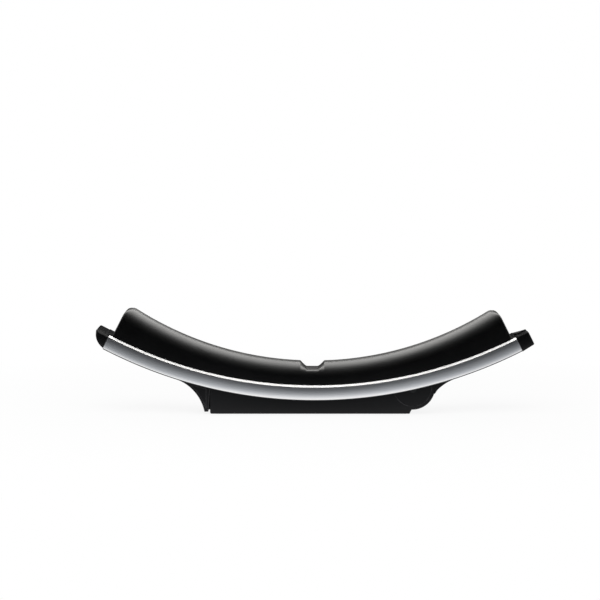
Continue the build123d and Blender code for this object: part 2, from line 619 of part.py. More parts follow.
def hinge_bracket():
    """Cast bracket under the web: seat plate, two cheeks and the hinge barrel."""
    plate = arc_band(SEAT_RADIUS, SEAT_RADIUS + BRACKET_PLATE, BRACKET_LEFT, BRACKET_RIGHT)
    left = arc_point(BRACKET_LEFT, SEAT_RADIUS + BRACKET_PLATE / 2)
    right = arc_point(BRACKET_RIGHT, SEAT_RADIUS + BRACKET_PLATE / 2)
    low_right = knuckle_point(0, BARREL_RADIUS)
    low_left = knuckle_point(-90 - CHANNEL_END, BARREL_RADIUS)
    cheek = make_face(Polyline(left, low_left, low_right, right, close=True).edges())
    body = slab(plate, BRACKET_HALF) + slab(cheek, BRACKET_HALF)
    clear = arc_band(SEAT_RADIUS + BRACKET_PLATE, CHANNEL_BOTTOM + KNUCKLE_RADIUS, 0, 2 * BRACKET_RIGHT)
    body = body - slab(clear, BRACKET_SLOT / 2)
    body = body + cross_rod(HINGE_X, HINGE_Z, BARREL_RADIUS, BRACKET_HALF)
    body = body - cross_rod(HINGE_X, HINGE_Z, PIN_DIAMETER / 2 + LOOSE_GAP, CHANNEL_WIDTH)
    inner = BRACKET_HALF - BUSH_LENGTH
    for side in (-1, 1):
        body = body - cross_disc(HINGE_X, HINGE_Z, BUSH_RADIUS, side * inner, side * CHANNEL_WIDTH)
    hole = screw_cut(WEB_SCREW_DIAMETER / 2 + SCREW_PLAY, WEB_SCREW_LENGTH + LOOSE_GAP)
    return cut_all(body, BRACKET_FRAMES, hole)


def hinge_bush(side):
    """Flanged bush at one end of the hinge barrel."""
    inner = BRACKET_HALF - BUSH_LENGTH + SEAT_GAP
    flange = BRACKET_HALF + BUSH_FLANGE
    body = cross_disc(HINGE_X, HINGE_Z, BUSH_RADIUS - FIT_PLAY, side * inner, side * flange)
    face = BRACKET_HALF + FIT_PLAY
    body = body + cross_disc(HINGE_X, HINGE_Z, BUSH_RADIUS + BUSH_FLANGE_WIDTH, side * face, side * flange)
    return body - cross_rod(HINGE_X, HINGE_Z, PIN_DIAMETER / 2 + FIT_PLAY, CHANNEL_WIDTH)


def hinge_pin():
    """Headed hinge pin across the base's two ears."""
    end = BASE_HALF - KNUCKLE_RECESS_DEPTH - PIN_END_MARGIN
    shoulder = end - PIN_HEAD_HEIGHT
    pin = cross_disc(HINGE_X, HINGE_Z, PIN_DIAMETER / 2, -shoulder, end)
    return pin + cross_disc(HINGE_X, HINGE_Z, PIN_HEAD_DIAMETER / 2, -end, -shoulder)


def pin_retainer():
    """Push-on ring that keeps the hinge pin in place at the back."""
    seat = BASE_HALF - KNUCKLE_RECESS_DEPTH - PIN_END_MARGIN - PIN_HEAD_HEIGHT
    ring = cross_disc(HINGE_X, HINGE_Z, PIN_HEAD_DIAMETER / 2, seat, seat + RETAINER_THICKNESS)
    return ring - cross_rod(HINGE_X, HINGE_Z, PIN_DIAMETER / 2 + FIT_PLAY, CHANNEL_WIDTH)


def base_outline():
    """Side outline of the base: flat foot, round knuckle, ear and curved wall tops."""
    foot_left = (-BASE_LEFT, BASE_RIM_Z)
    foot_right = (HINGE_X - BASE_RIGHT_SETBACK, BASE_RIM_Z)
    wall_top = CHANNEL_BOTTOM - BASE_WALL_LAP
    top = arc_edge(wall_top, arc_angle(-BASE_LEFT, wall_top), arc_angle(HINGE_X - EAR_STEP, wall_top))
    hinge = (HINGE_X, HINGE_Z)
    knuckle = CenterArc(hinge, KNUCKLE_RADIUS, KNUCKLE_START_ANGLE, KNUCKLE_TOP_ANGLE - KNUCKLE_START_ANGLE)
    ear = CenterArc(hinge, EAR_TOP_RADIUS, EAR_START_ANGLE, EAR_END_ANGLE - EAR_START_ANGLE)
    edges = [Line(foot_left, foot_right), Line(foot_right, knuckle @ 0), knuckle, Line(knuckle @ 1, ear @ 0),
             ear, Line(ear @ 1, top @ 1), top, Line(top @ 0, foot_left)]
    outline = make_face(edges)
    corner = outline.vertices().sort_by_distance(foot_left)[0]
    return fillet(corner, BASE_CORNER_ROUND)


def slot_cut(x, depth):
    """Bolt slot along the bar, cut through the floor."""
    return Pos(x, 0, 0) * extrude(SlotOverall(BOLT_SLOT_LENGTH, BOLT_SLOT_WIDTH), amount=depth, both=True)


def base_hollow():
    """Inside of the base: a long trough with a round pocket inside the knuckle."""
    left = -BASE_LEFT + BASE_WALL
    right = HINGE_X - BASE_RIGHT_SETBACK - BASE_WALL
    trough = Pos((left + right) / 2, FLOOR_Z + ARC_CENTRE_Z / 2) * Rectangle(right - left, ARC_CENTRE_Z)
    round_pocket = Pos(HINGE_X, HINGE_Z) * Circle(KNUCKLE_RADIUS - KNUCKLE_WALL)
    above = Pos(HINGE_X, HINGE_Z + KNUCKLE_RADIUS) * Rectangle(2 * KNUCKLE_RADIUS, KNUCKLE_RADIUS)
    return slab(trough + round_pocket + above, BASE_HALF - BASE_WALL)


def wall_ribs():
    """Upright ribs spaced along the inside of both long walls."""
    first = POST_X + 2 * POST_THICKNESS
    last = HINGE_X - KNUCKLE_RADIUS - BASE_WALL
    step = (last - first) / (WALL_RIB_COUNT - 1)
    top = CHANNEL_BOTTOM - BASE_WALL_LAP + WALL_RIB_DROP
    ribs = []
    for index in range(WALL_RIB_COUNT):
        x = first + index * step
        z = ARC_CENTRE_Z - sqrt(top ** 2 - x ** 2)
        height = z - FLOOR_Z + BASE_WALL / 2
        for side in (-1, 1):
            y = side * (BASE_HALF - BASE_WALL / 2 - WALL_RIB_DEPTH / 2)
            ribs.append(Pos(x, y, z - height / 2) * Box(WALL_RIB_THICKNESS, WALL_RIB_DEPTH + BASE_WALL, height))
    return ribs


def buffer_post():
    """Cross wall that carries the rubber buffer under the lowered saddle."""
    top = SEAT_RADIUS + BUFFER_HEIGHT
    half = POST_THICKNESS / 2
    z = ARC_CENTRE_Z - sqrt(top ** 2 - POST_X ** 2)
    height = z - BASE_RIM_Z - BASE_FLOOR / 2
    post = Pos(POST_X, 0, z - height / 2) * Box(POST_THICKNESS, POST_WIDTH, height)
    web_top = ARC_CENTRE_Z - sqrt((CHANNEL_BOTTOM - BASE_WALL_LAP + WALL_RIB_DROP) ** 2 - (POST_X + half) ** 2)
    web_height = web_top - BASE_RIM_Z - BASE_FLOOR / 2
    web = Pos(POST_X, 0, web_top - web_height / 2) * Box(POST_THICKNESS, 2 * BASE_HALF - BASE_WALL, web_height)
    return post + web


def shown_rim(outside):
    """Outline edges of the base's two sides that stay in view: left end, foot and knuckle."""
    shown_top = HINGE_Z + KNUCKLE_RADIUS * sin(radians(KNUCKLE_TOP_ANGLE)) + FIT_PLAY
    rim = outside.edges().filter_by(lambda edge: abs(abs(edge.center().Y) - BASE_HALF) < FIT_PLAY)
    rim = rim.filter_by(lambda edge: edge.bounding_box().min.Z < HINGE_Z / 2)
    return rim.filter_by(lambda edge: edge.bounding_box().max.Z < shown_top)


def base_housing():
    """Moulded base with hinge ears, inside ribs, buffer post, bolt slots and a recess for the sole."""
    outside = slab(base_outline(), BASE_HALF)
    outside = fillet(shown_rim(outside), BASE_EDGE_ROUND)
    body = outside - base_hollow()
    boss_end = BASE_HALF - BASE_WALL / 2
    recess_face = BASE_HALF - KNUCKLE_RECESS_DEPTH
    sink_radius = PIN_HEAD_DIAMETER / 2 + LOOSE_GAP
    sink_face = recess_face - PIN_END_MARGIN - PIN_HEAD_HEIGHT
    boss_radius = EAR_TOP_RADIUS - FIT_PLAY
    away = CHANNEL_WIDTH
    for side in (-1, 1):
        body = body + cross_disc(HINGE_X, HINGE_Z, boss_radius, side * EAR_INSIDE, side * boss_end)
        body = body - cross_disc(HINGE_X, HINGE_Z, KNUCKLE_RECESS_RADIUS, side * recess_face, side * away)
        body = body - cross_disc(HINGE_X, HINGE_Z, sink_radius, side * sink_face, side * away)
    for rib in wall_ribs():
        body = body + rib
    body = body + buffer_post()
    body = body - cross_rod(HINGE_X, HINGE_Z, PIN_DIAMETER / 2 + FIT_PLAY, CHANNEL_WIDTH)
    left, right = sole_span()
    recess = Pos((left + right) / 2, 0, SOLE_THICKNESS / 2) * Box(right - left + 2 * LOOSE_GAP,
                                                                  2 * (sole_half() + LOOSE_GAP), SOLE_THICKNESS)
    body = body - recess
    for side in (-1, 1):
        body = body - slot_cut(side * BOLT_SPACING / 2, FLOOR_Z * 2)
    for x in rack_screw_places():
        body = body - Pos(x, 0, FLOOR_Z) * Cylinder(SMALL_SCREW_DIAMETER / 2 + SCREW_PLAY, 2 * BASE_FLOOR)
    return body


def sole_span():
    """Left and right ends of the sole."""
    return (-BASE_LEFT + SOLE_MARGIN, HINGE_X - BASE_RIGHT_SETBACK - SOLE_MARGIN)


def sole_half():
    """Half of the sole's width."""
    return BASE_HALF - SOLE_MARGIN


def rubber_sole():
    """Rubber sheet under the base that grips the bar."""
    left, right = sole_span()
    body = Pos((left + right) / 2, 0, (SOLE_THICKNESS - SEAT_GAP) / 2) * Box(right - left, 2 * sole_half(),
                                                                            SOLE_THICKNESS - SEAT_GAP)
    for side in (-1, 1):
        body = body - slot_cut(side * BOLT_SPACING / 2, SOLE_THICKNESS * 2)
    return body


def floor_plate():
    """Steel plate that spreads the bolts' load over the base floor."""
    left = POST_X + POST_THICKNESS / 2 + LOOSE_GAP
    right = BOLT_SPACING / 2 + BOLT_SLOT_LENGTH / 2 + PLATE_END_MARGIN
    half = BASE_HALF - BASE_WALL - WALL_RIB_DEPTH - LOOSE_GAP
    outline = Pos((left + right) / 2, 0) * RectangleRounded(right - left, 2 * half, CAP_CORNER_ROUND)
    body = Pos(0, 0, FLOOR_Z + SEAT_GAP) * extrude(outline, amount=PLATE_THICKNESS)
    for side in (-1, 1):
        body = body - slot_cut(side * BOLT_SPACING / 2, PLATE_TOP_Z * 2)
    for x in rack_screw_places():
        body = body - Pos(x, 0, FLOOR_Z) * Cylinder(SMALL_SCREW_DIAMETER / 2 + SCREW_PLAY, 4 * PLATE_THICKNESS)
    return body


def rest_buffer():
    """Rubber cap on the buffer post; the lowered saddle lies on it."""
    top = WEB_UNDER + MOVING_GAP
    half = POST_THICKNESS / 2 + BUFFER_SKIN
    left = arc_angle(POST_X - half, top)
    right = arc_angle(POST_X + half, top)
    body = slab(arc_band(top, top + BUFFER_HEIGHT + BUFFER_SKIRT, left, right), POST_WIDTH / 2 + BUFFER_SKIN)
    post_top = ARC_CENTRE_Z - sqrt((SEAT_RADIUS + BUFFER_HEIGHT) ** 2 - POST_X ** 2)
    hollow = Pos(POST_X, 0, post_top + SEAT_GAP - HINGE_Z / 2) * Box(POST_THICKNESS + 2 * SEAT_GAP,
                                                                    POST_WIDTH + 2 * SEAT_GAP, HINGE_Z)
    return body - hollow


def prop_bracket():
    """Pressed bracket under the web with two ears for the prop's pin."""
    plate = arc_band(SEAT_RADIUS, SEAT_RADIUS + PROP_PLATE, PROP_ANGLE - PROP_PLATE_TURN,
                     PROP_ANGLE + PROP_PLATE_TURN)
    inside = PROP_WIDTH / 2 + MOVING_GAP
    body = slab(plate, inside + PROP_EAR_THICKNESS)
    height = PROP_PIVOT_DROP - PROP_PLATE
    ear = Pos(PROP_PIVOT_X, PROP_PIVOT_Z) * Circle(PROP_EYE_RADIUS)
    ear = ear + Pos(PROP_PIVOT_X, PROP_PIVOT_Z + height / 2) * Rectangle(2 * PROP_EYE_RADIUS, height)
    ear = slab(ear, inside + PROP_EAR_THICKNESS) - slab(ear, inside)
    body = body + ear
    body = body - cross_rod(PROP_PIVOT_X, PROP_PIVOT_Z, PROP_PIN_DIAMETER / 2 + FIT_PLAY, CHANNEL_WIDTH)
    hole = screw_cut(WEB_SCREW_DIAMETER / 2 + SCREW_PLAY, WEB_SCREW_LENGTH)
    return cut_all(body, PROP_FRAMES, hole)


def prop_rivets():
    """Countersunk rivets that hold the prop bracket to the web."""
    length = CHANNEL_WALL + SEAT_GAP + PROP_PLATE
    shank = flush_screw(WEB_SCREW_DIAMETER, WEB_SCREW_HEAD, length)
    tail = Pos(0, 0, -length - SEAT_GAP - PROP_PLATE / 4) * Cylinder(PROP_RIVET_TAIL / 2, PROP_PLATE / 2)
    neck = screw_cut(WEB_SCREW_DIAMETER / 2, length + SEAT_GAP)
    return Compound([frame * Pos(0, 0, -SEAT_GAP) * (shank + neck + tail) for frame in PROP_FRAMES])


def prop_pin():
    """Headed pin through the prop bracket and the prop."""
    end = PROP_WIDTH / 2 + MOVING_GAP + PROP_EAR_THICKNESS
    pin = cross_rod(PROP_PIVOT_X, PROP_PIVOT_Z, PROP_PIN_DIAMETER / 2, end + PROP_PLATE)
    for side in (-1, 1):
        head = cross_disc(PROP_PIVOT_X, PROP_PIVOT_Z, PROP_PIN_HEAD_DIAMETER / 2, side * (end + SEAT_GAP),
                          side * (end + PROP_PLATE))
        pin = pin + head
    return pin


def prop_arm():
    """Cast prop: an eye at the saddle, a waisted arm with hollowed sides and a round foot."""
    pivot = Vector(PROP_PIVOT_X, PROP_PIVOT_Z)
    foot = Vector(PROP_FOOT_X, PROP_FOOT_Z)
    along = (pivot - foot).normalized()
    side = Vector(-along.Y, along.X)
    wide = side * PROP_WAIST
    bar = make_face(Polyline(pivot + wide, foot + wide, foot - wide, pivot - wide, close=True).edges())
    foot_end = Pos(foot.X, foot.Y) * Circle(PROP_WAIST)
    eye = Pos(pivot.X, pivot.Y) * Circle(PROP_EYE_RADIUS)
    body = slab(bar + foot_end + eye, PROP_WIDTH / 2)
    inset = side * (PROP_WAIST - PROP_PLATE)
    start = foot + along * 2 * PROP_WAIST
    end = pivot - along * 2 * PROP_EYE_RADIUS
    window = make_face(Polyline(start + inset, start - inset, end - inset, end + inset, close=True).edges())
    body = body - (slab(window, PROP_WIDTH) - slab(window, PROP_WIDTH / 2 - PROP_POCKET_DEPTH))
    body = body - cross_rod(pivot.X, pivot.Y, PROP_PIN_DIAMETER / 2 + FIT_PLAY, CHANNEL_WIDTH)
    return body - cross_rod(foot.X, foot.Y, PROP_FOOT_RADIUS - PROP_PLATE / 2 + FIT_PLAY, CHANNEL_WIDTH)


def prop_foot_rod():
    """Steel rod through the prop's foot; its ends drop into the rack."""
    neck = cross_rod(PROP_FOOT_X, PROP_FOOT_Z, PROP_FOOT_RADIUS - PROP_PLATE / 2, PROP_FOOT_ROD_LENGTH / 2)
    for side in (-1, 1):
        end = cross_disc(PROP_FOOT_X, PROP_FOOT_Z, PROP_FOOT_RADIUS, side * (PROP_WIDTH / 2 + SEAT_GAP),
                         side * PROP_FOOT_ROD_LENGTH / 2)
        neck = neck + end
    return neck


def rack_line():
    """Left and right ends of the rack's sloping top, kept under the foot's path."""
    middle = Vector(*prop_foot_at(TILT_MAX / 2))
    raised = Vector(*prop_foot_at(TILT_MAX))
    along = (raised - middle).normalized()
    drop = Vector(0, -(max(PROP_FOOT_RADIUS, PROP_WAIST) + RACK_GAP))
    return (middle - along * RACK_RUN_OUT + drop, raised + along * RACK_RUN_OUT + drop)


def rack_screw_places():
    """Middle of the rack's two end feet along the bar."""
    left, right = rack_line()
    return (left.X - RACK_FOOT / 2, right.X + RACK_FOOT / 2)


def prop_rack():
    """Two-notch rack on the floor plate with a screwed foot at each end."""
    left, right = rack_line()
    low = PLATE_TOP_Z + SEAT_GAP
    outline = Polyline((left.X, low), (left.X, left.Y), (right.X, right.Y), (right.X, low), close=True)
    body = make_face(outline.edges())
    for tilt in (TILT_MAX / 2, TILT_MAX):
        x, z = prop_foot_at(tilt)
        seat = Pos(x, z - NOTCH_DROP) * Circle(PROP_FOOT_RADIUS + MOVING_GAP)
        body = body - seat
    body = slab(body, RACK_WIDTH / 2)
    for x in rack_screw_places():
        foot = Pos(x, 0, low + PLATE_THICKNESS / 2) * Box(RACK_FOOT, RACK_WIDTH, PLATE_THICKNESS)
        body = body + foot
        body = body - Pos(x, 0, low + PLATE_THICKNESS) * flush_screw(SMALL_SCREW_DIAMETER, SMALL_SCREW_HEAD,
                                                                     2 * PLATE_THICKNESS, SCREW_PLAY)
    return body


def rack_screws():
    """Countersunk screws that hold the rack down to the floor plate and the base."""
    top = PLATE_TOP_Z + SEAT_GAP + PLATE_THICKNESS
    screw = flush_screw(SMALL_SCREW_DIAMETER, SMALL_SCREW_HEAD, top - SOLE_THICKNESS - SEAT_GAP)
    screw = screw - socket(SOCKET_DEPTH)
    return Compound([Pos(x, 0, top - SEAT_GAP) * screw for x in rack_screw_places()])


def pieces():
    """Every piece by its node name."""
    return {
        "saddle_channel": saddle_channel(),
        "hull_pad": hull_pad(),
        "nose_cap": nose_cap(),
        "strap_cap": strap_cap(),
        "end_cap_screws": end_cap_screws(),
        "pad_screws": pad_screws(),
        "support_leg": support_leg(),
        "leg_screws": web_screws(LEG_FRAMES),
        "hinge_guard": hinge_guard(),
        "guard_screws": web_screws(GUARD_FRAMES),
        "hinge_bracket": hinge_bracket(),
        "bracket_screws": web_screws(BRACKET_FRAMES),
        "front_hinge_bush": hinge_bush(-1),
        "rear_hinge_bush": hinge_bush(1),
        "prop_bracket": prop_bracket(),
        "prop_rivets": prop_rivets(),
        "prop_pin": prop_pin(),
        "prop_arm": prop_arm(),
        "prop_foot_rod": prop_foot_rod(),
        "base_housing": base_housing(),
        "rubber_sole": rubber_sole(),
        "floor_plate": floor_plate(),
        "prop_rack": prop_rack(),
        "rack_screws": rack_screws(),
        "rest_buffer": rest_buffer(),
        "hinge_pin": hinge_pin(),
        "pin_retainer": pin_retainer(),
    }


def main():
    """Build every piece and write one file for each."""
    os.makedirs("parts", exist_ok=True)
    for name, piece in pieces().items():
        export_step(piece, f"parts/{name}.step")


if __name__ == "__main__":
    main()
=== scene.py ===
"""Looks of a tilting kayak carrier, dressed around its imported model.

Lengths are metres in the part's own frame: X along the roof bar, Y away from the camera, Z up.
"""

from __future__ import annotations

import logging
import math
from dataclasses import dataclass, field
from enum import Enum

import bmesh
import bpy
from mathutils import Matrix, Vector

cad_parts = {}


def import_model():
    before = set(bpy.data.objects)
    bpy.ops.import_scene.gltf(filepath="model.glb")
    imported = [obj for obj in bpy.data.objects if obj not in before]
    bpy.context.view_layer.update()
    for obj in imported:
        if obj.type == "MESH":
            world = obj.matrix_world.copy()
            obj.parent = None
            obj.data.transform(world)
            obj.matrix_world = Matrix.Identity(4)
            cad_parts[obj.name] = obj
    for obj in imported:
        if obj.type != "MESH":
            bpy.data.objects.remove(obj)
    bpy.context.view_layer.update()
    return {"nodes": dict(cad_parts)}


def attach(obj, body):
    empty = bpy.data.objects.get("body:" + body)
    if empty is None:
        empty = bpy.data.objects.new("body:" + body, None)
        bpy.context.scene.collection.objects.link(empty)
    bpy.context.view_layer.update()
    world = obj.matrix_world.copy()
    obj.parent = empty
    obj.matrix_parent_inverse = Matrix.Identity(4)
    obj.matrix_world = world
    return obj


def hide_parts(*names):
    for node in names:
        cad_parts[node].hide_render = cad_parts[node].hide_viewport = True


LOG = logging.getLogger("kayak_carrier")
MM = 0.001
WHITE = (1.0, 1.0, 1.0, 1.0)
MERGE_DISTANCE = 0.001 * MM
ARC_RADIUS = 807.4 * MM
MID_TOP = 52.6 * MM
RIM_LOWER = 2.2 * MM

Colour = tuple[float, float, float]
Ring = list[Vector]


class Body(Enum):
    """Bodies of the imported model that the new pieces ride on."""

    SADDLE = "saddle"
    BASE = "base"


class Slot(Enum):
    """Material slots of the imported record."""

    RAIL = "anodised_aluminium"
    PAD = "pad_rubber"
    NYLON = "black_nylon"
    STEEL = "zinc_steel"
    CASTING = "cast_aluminium"
    BUSH = "bush_nylon"
    SOLE = "sole_rubber"


class Graph:
    """Adds and links the nodes of one tree."""

    def __init__(self, tree: bpy.types.NodeTree) -> None:
        """Start from an empty tree."""
        self.tree = tree
        tree.nodes.clear()

    def wire(self, socket: bpy.types.NodeSocket, value: object) -> None:
        """Link a socket to an output, or set its own value.

        Args:
            socket: Input of a node.
            value: Output socket of another node, or a plain value.
        """
        if isinstance(value, bpy.types.NodeSocket):
            self.tree.links.new(value, socket)
        else:
            socket.default_value = value

    def add(self, kind: str, inputs: dict | None = None, **settings: object) -> bpy.types.Node:
        """Add a node, set its properties and wire its inputs.

        Args:
            kind: Blender's name of the node type.
            inputs: Values or output sockets by input name or index.
            settings: Node properties by name.

        Returns:
            The new node.
        """
        node = self.tree.nodes.new(kind)
        for name, value in settings.items():
            setattr(node, name, value)
        for name, value in (inputs or {}).items():
            self.wire(node.inputs[name], value)
        return node

    def math(self, operation: str, *values: object) -> bpy.types.NodeSocket:
        """Add a Math node.

        Args:
            operation: Name of the operation.
            values: Numbers or sockets for its inputs, in order.

        Returns:
            The node's output.
        """
        node = self.add("ShaderNodeMath", dict(enumerate(values)), operation=operation)
        return node.outputs[0]

    def vector_math(self, operation: str, *values: object) -> bpy.types.NodeOutputs:
        """Add a Vector Math node.

        Args:
            operation: Name of the operation.
            values: Vectors or sockets for its inputs, in order.

        Returns:
            The node's outputs, Vector and Value.
        """
        node = self.add("ShaderNodeVectorMath", dict(enumerate(values)), operation=operation)
        return node.outputs

    def noise(self, place: object, scale: object, detail: float) -> bpy.types.NodeSocket:
        """Add a noise texture.

        Args:
            place: Socket of the place that it is read at.
            scale: Its scale.
            detail: How many finer layers it has.

        Returns:
            The noise, from 0 to 1.
        """
        inputs = {"Vector": place, "Scale": scale, "Detail": detail}
        return self.add("ShaderNodeTexNoise", inputs).outputs[0]

    def remap(self, value: object, low: float, high: float,
              to_low: float = 0.0, to_high: float = 1.0) -> bpy.types.NodeSocket:
        """Map one range of a value onto another, held at its ends.

        Args:
            value: Socket to map.
            low: Start of the range that is read.
            high: End of the range that is read.
            to_low: Result at the start.
            to_high: Result at the end.

        Returns:
            The mapped value.
        """
        inputs = {"Value": value, "From Min": low, "From Max": high, "To Min": to_low, "To Max": to_high}
        return self.add("ShaderNodeMapRange", inputs).outputs[0]

    def blend(self, share: object, first: object, second: object) -> bpy.types.NodeSocket:
        """Mix two colours.

        Args:
            share: Share of the second colour.
            first: Colour at share 0.
            second: Colour at share 1.

        Returns:
            The mixed colour.
        """
        node = self.add("ShaderNodeMix", {0: share, 6: first, 7: second}, data_type="RGBA")
        return node.outputs[2]

    def shader_mix(self, share: object, first: object, second: object) -> bpy.types.NodeSocket:
        """Mix two shaders.

        Args:
            share: Share of the second shader.
            first: Shader at share 0.
            second: Shader at share 1.

        Returns:
            The mixed shader.
        """
        return self.add("ShaderNodeMixShader", {0: share, 1: first, 2: second}).outputs[0]


class Effect(Enum):
    """Surface effects that several finishes share."""

    MOULDED_GRAIN = "moulded_grain"
    DRAWN_STREAKS = "drawn_streaks"
    WORN_AND_LIT_EDGES = "worn_edges"


class EffectLibrary:
    """Shader node groups, each built the first time that a finish asks for it."""

    FINE_DETAIL = 2.0
    BROAD_DETAIL = 3.0
    PATCH_RANGE = (0.35, 0.65)
    STREAK_RANGE = (0.3, 0.7)
    EDGE_RANGE = (0.995, 0.8)
    BREAK_RANGE = (0.35, 0.6)
    BREAK_LEAST = 0.25
    BEVEL_SAMPLES = 4

    def __init__(self) -> None:
        """Start with no group built."""
        self.built: dict[Effect, bpy.types.NodeTree] = {}

    def get(self, effect: Effect) -> bpy.types.NodeTree:
        """Give the node group of an effect.

        Args:
            effect: Which effect.

        Returns:
            Its node group.
        """
        makers = {
            Effect.MOULDED_GRAIN: self._moulded_grain,
            Effect.DRAWN_STREAKS: self._drawn_streaks,
            Effect.WORN_AND_LIT_EDGES: self._worn_and_lit_edges,
        }
        if effect not in self.built:
            self.built[effect] = makers[effect]()
        return self.built[effect]

    @staticmethod
    def _start(effect: Effect, inputs: dict[str, float],
               outputs: tuple[str, ...]) -> tuple[Graph, dict, dict]:
        """Make an empty group with float sockets.

        Args:
            effect: Which effect the group is for.
            inputs: Default values of the inputs by name.
            outputs: Names of the outputs.

        Returns:
            The graph, its inputs by name and the sockets that take its results by name.
        """
        tree = bpy.data.node_groups.new(effect.value, "ShaderNodeTree")
        for name, value in inputs.items():
            socket = tree.interface.new_socket(name=name, in_out="INPUT", socket_type="NodeSocketFloat")
            socket.default_value = value
        for name in outputs:
            tree.interface.new_socket(name=name, in_out="OUTPUT", socket_type="NodeSocketFloat")
        graph = Graph(tree)
        given = graph.add("NodeGroupInput").outputs
        result = graph.add("NodeGroupOutput").inputs
        return graph, given, result

    def _moulded_grain(self) -> bpy.types.NodeTree:
        """Fine mould grain, and broad patches where the gloss differs.

        Returns:
            The node group.
        """
        graph, given, result = self._start(
            Effect.MOULDED_GRAIN, {"Grain Scale": 900.0, "Patch Scale": 14.0}, ("Height", "Patches"))
        place = graph.add("ShaderNodeTexCoord").outputs["Object"]
        broad = graph.noise(place, given["Patch Scale"], self.BROAD_DETAIL)
        graph.wire(result["Height"], graph.noise(place, given["Grain Scale"], self.FINE_DETAIL))
        graph.wire(result["Patches"], graph.remap(broad, *self.PATCH_RANGE))
        return graph.tree

    def _drawn_streaks(self) -> bpy.types.NodeTree:
        """Long fine streaks that run round the saddle's arc, as a die leaves them, and the masks of the
        painted highlights and of the painted lip shade.

        Returns:
            The node group.
        """
        inputs = {"Arc Height": 0.86, "Along Scale": 6.0, "Across Scale": 900.0, "Painted Shine Start": 0.9,
                  "Lip Shade Start": 0.9, "Lip Shade End": 0.9, "Painted Bead End": 0.8}
        outputs = ("Height", "Streaks", "Painted Shine", "Lip Shade", "Painted Bead")
        graph, given, result = self._start(Effect.DRAWN_STREAKS, inputs, outputs)
        place = graph.add("ShaderNodeTexCoord").outputs["Object"]
        parts = graph.add("ShaderNodeSeparateXYZ", {0: place}).outputs
        below = graph.math("SUBTRACT", given["Arc Height"], parts["Z"])
        angle = graph.math("ARCTAN2", parts["X"], below)
        radius = graph.math("SQRT", graph.math("ADD", graph.math("MULTIPLY", parts["X"], parts["X"]),
                                               graph.math("MULTIPLY", below, below)))
        drawn = graph.add("ShaderNodeCombineXYZ", {
            "X": graph.math("MULTIPLY", angle, given["Along Scale"]),
            "Y": graph.math("MULTIPLY", parts["Y"], given["Across Scale"]),
            "Z": graph.math("MULTIPLY", radius, given["Across Scale"])}).outputs[0]
        noise = graph.noise(drawn, 1.0, self.FINE_DETAIL)
        graph.wire(result["Height"], noise)
        graph.wire(result["Streaks"], graph.remap(noise, *self.STREAK_RANGE))
        # Masks by distance from the arc's centre: a painted highlight that grows down the lower sides, then
        # a painted shade line on the lip.
        for name, start, end in (("Painted Shine", "Painted Shine Start", "Lip Shade Start"), ("Lip Shade", "Lip Shade Start", "Lip Shade End")):
            share = graph.math("DIVIDE", graph.math("SUBTRACT", radius, given[start]),
                               graph.math("SUBTRACT", given[end], given[start]))
            graph.wire(result[name], graph.remap(share, 0.0, 1.0))
        # Mask of the top bevel, which is painted white as a highlight.
        graph.wire(result["Painted Bead"], graph.math("LESS_THAN", radius, given["Painted Bead End"]))
        return graph.tree

    def _worn_and_lit_edges(self) -> bpy.types.NodeTree:
        """Mask of the outer edges, broken up by noise: where hands and straps rub the metals, and where the
        black nylon takes a painted highlight along its rims.

        Returns:
            The node group.
        """
        graph, given, result = self._start(
            Effect.WORN_AND_LIT_EDGES, {"Edge Radius": 0.0012, "Break Scale": 120.0}, ("Mask",))
        bevel = graph.add("ShaderNodeBevel", {"Radius": given["Edge Radius"]}, samples=self.BEVEL_SAMPLES)
        true_normal = graph.add("ShaderNodeNewGeometry").outputs["Normal"]
        turn = graph.vector_math("DOT_PRODUCT", bevel.outputs[0], true_normal)["Value"]
        edge = graph.remap(turn, *self.EDGE_RANGE)
        place = graph.add("ShaderNodeTexCoord").outputs["Object"]
        noise = graph.noise(place, given["Break Scale"], self.BROAD_DETAIL)
        broken = graph.remap(noise, *self.BREAK_RANGE, to_low=self.BREAK_LEAST)
        graph.wire(result["Mask"], graph.math("MULTIPLY", edge, broken))
        return graph.tree


EFFECTS = EffectLibrary()


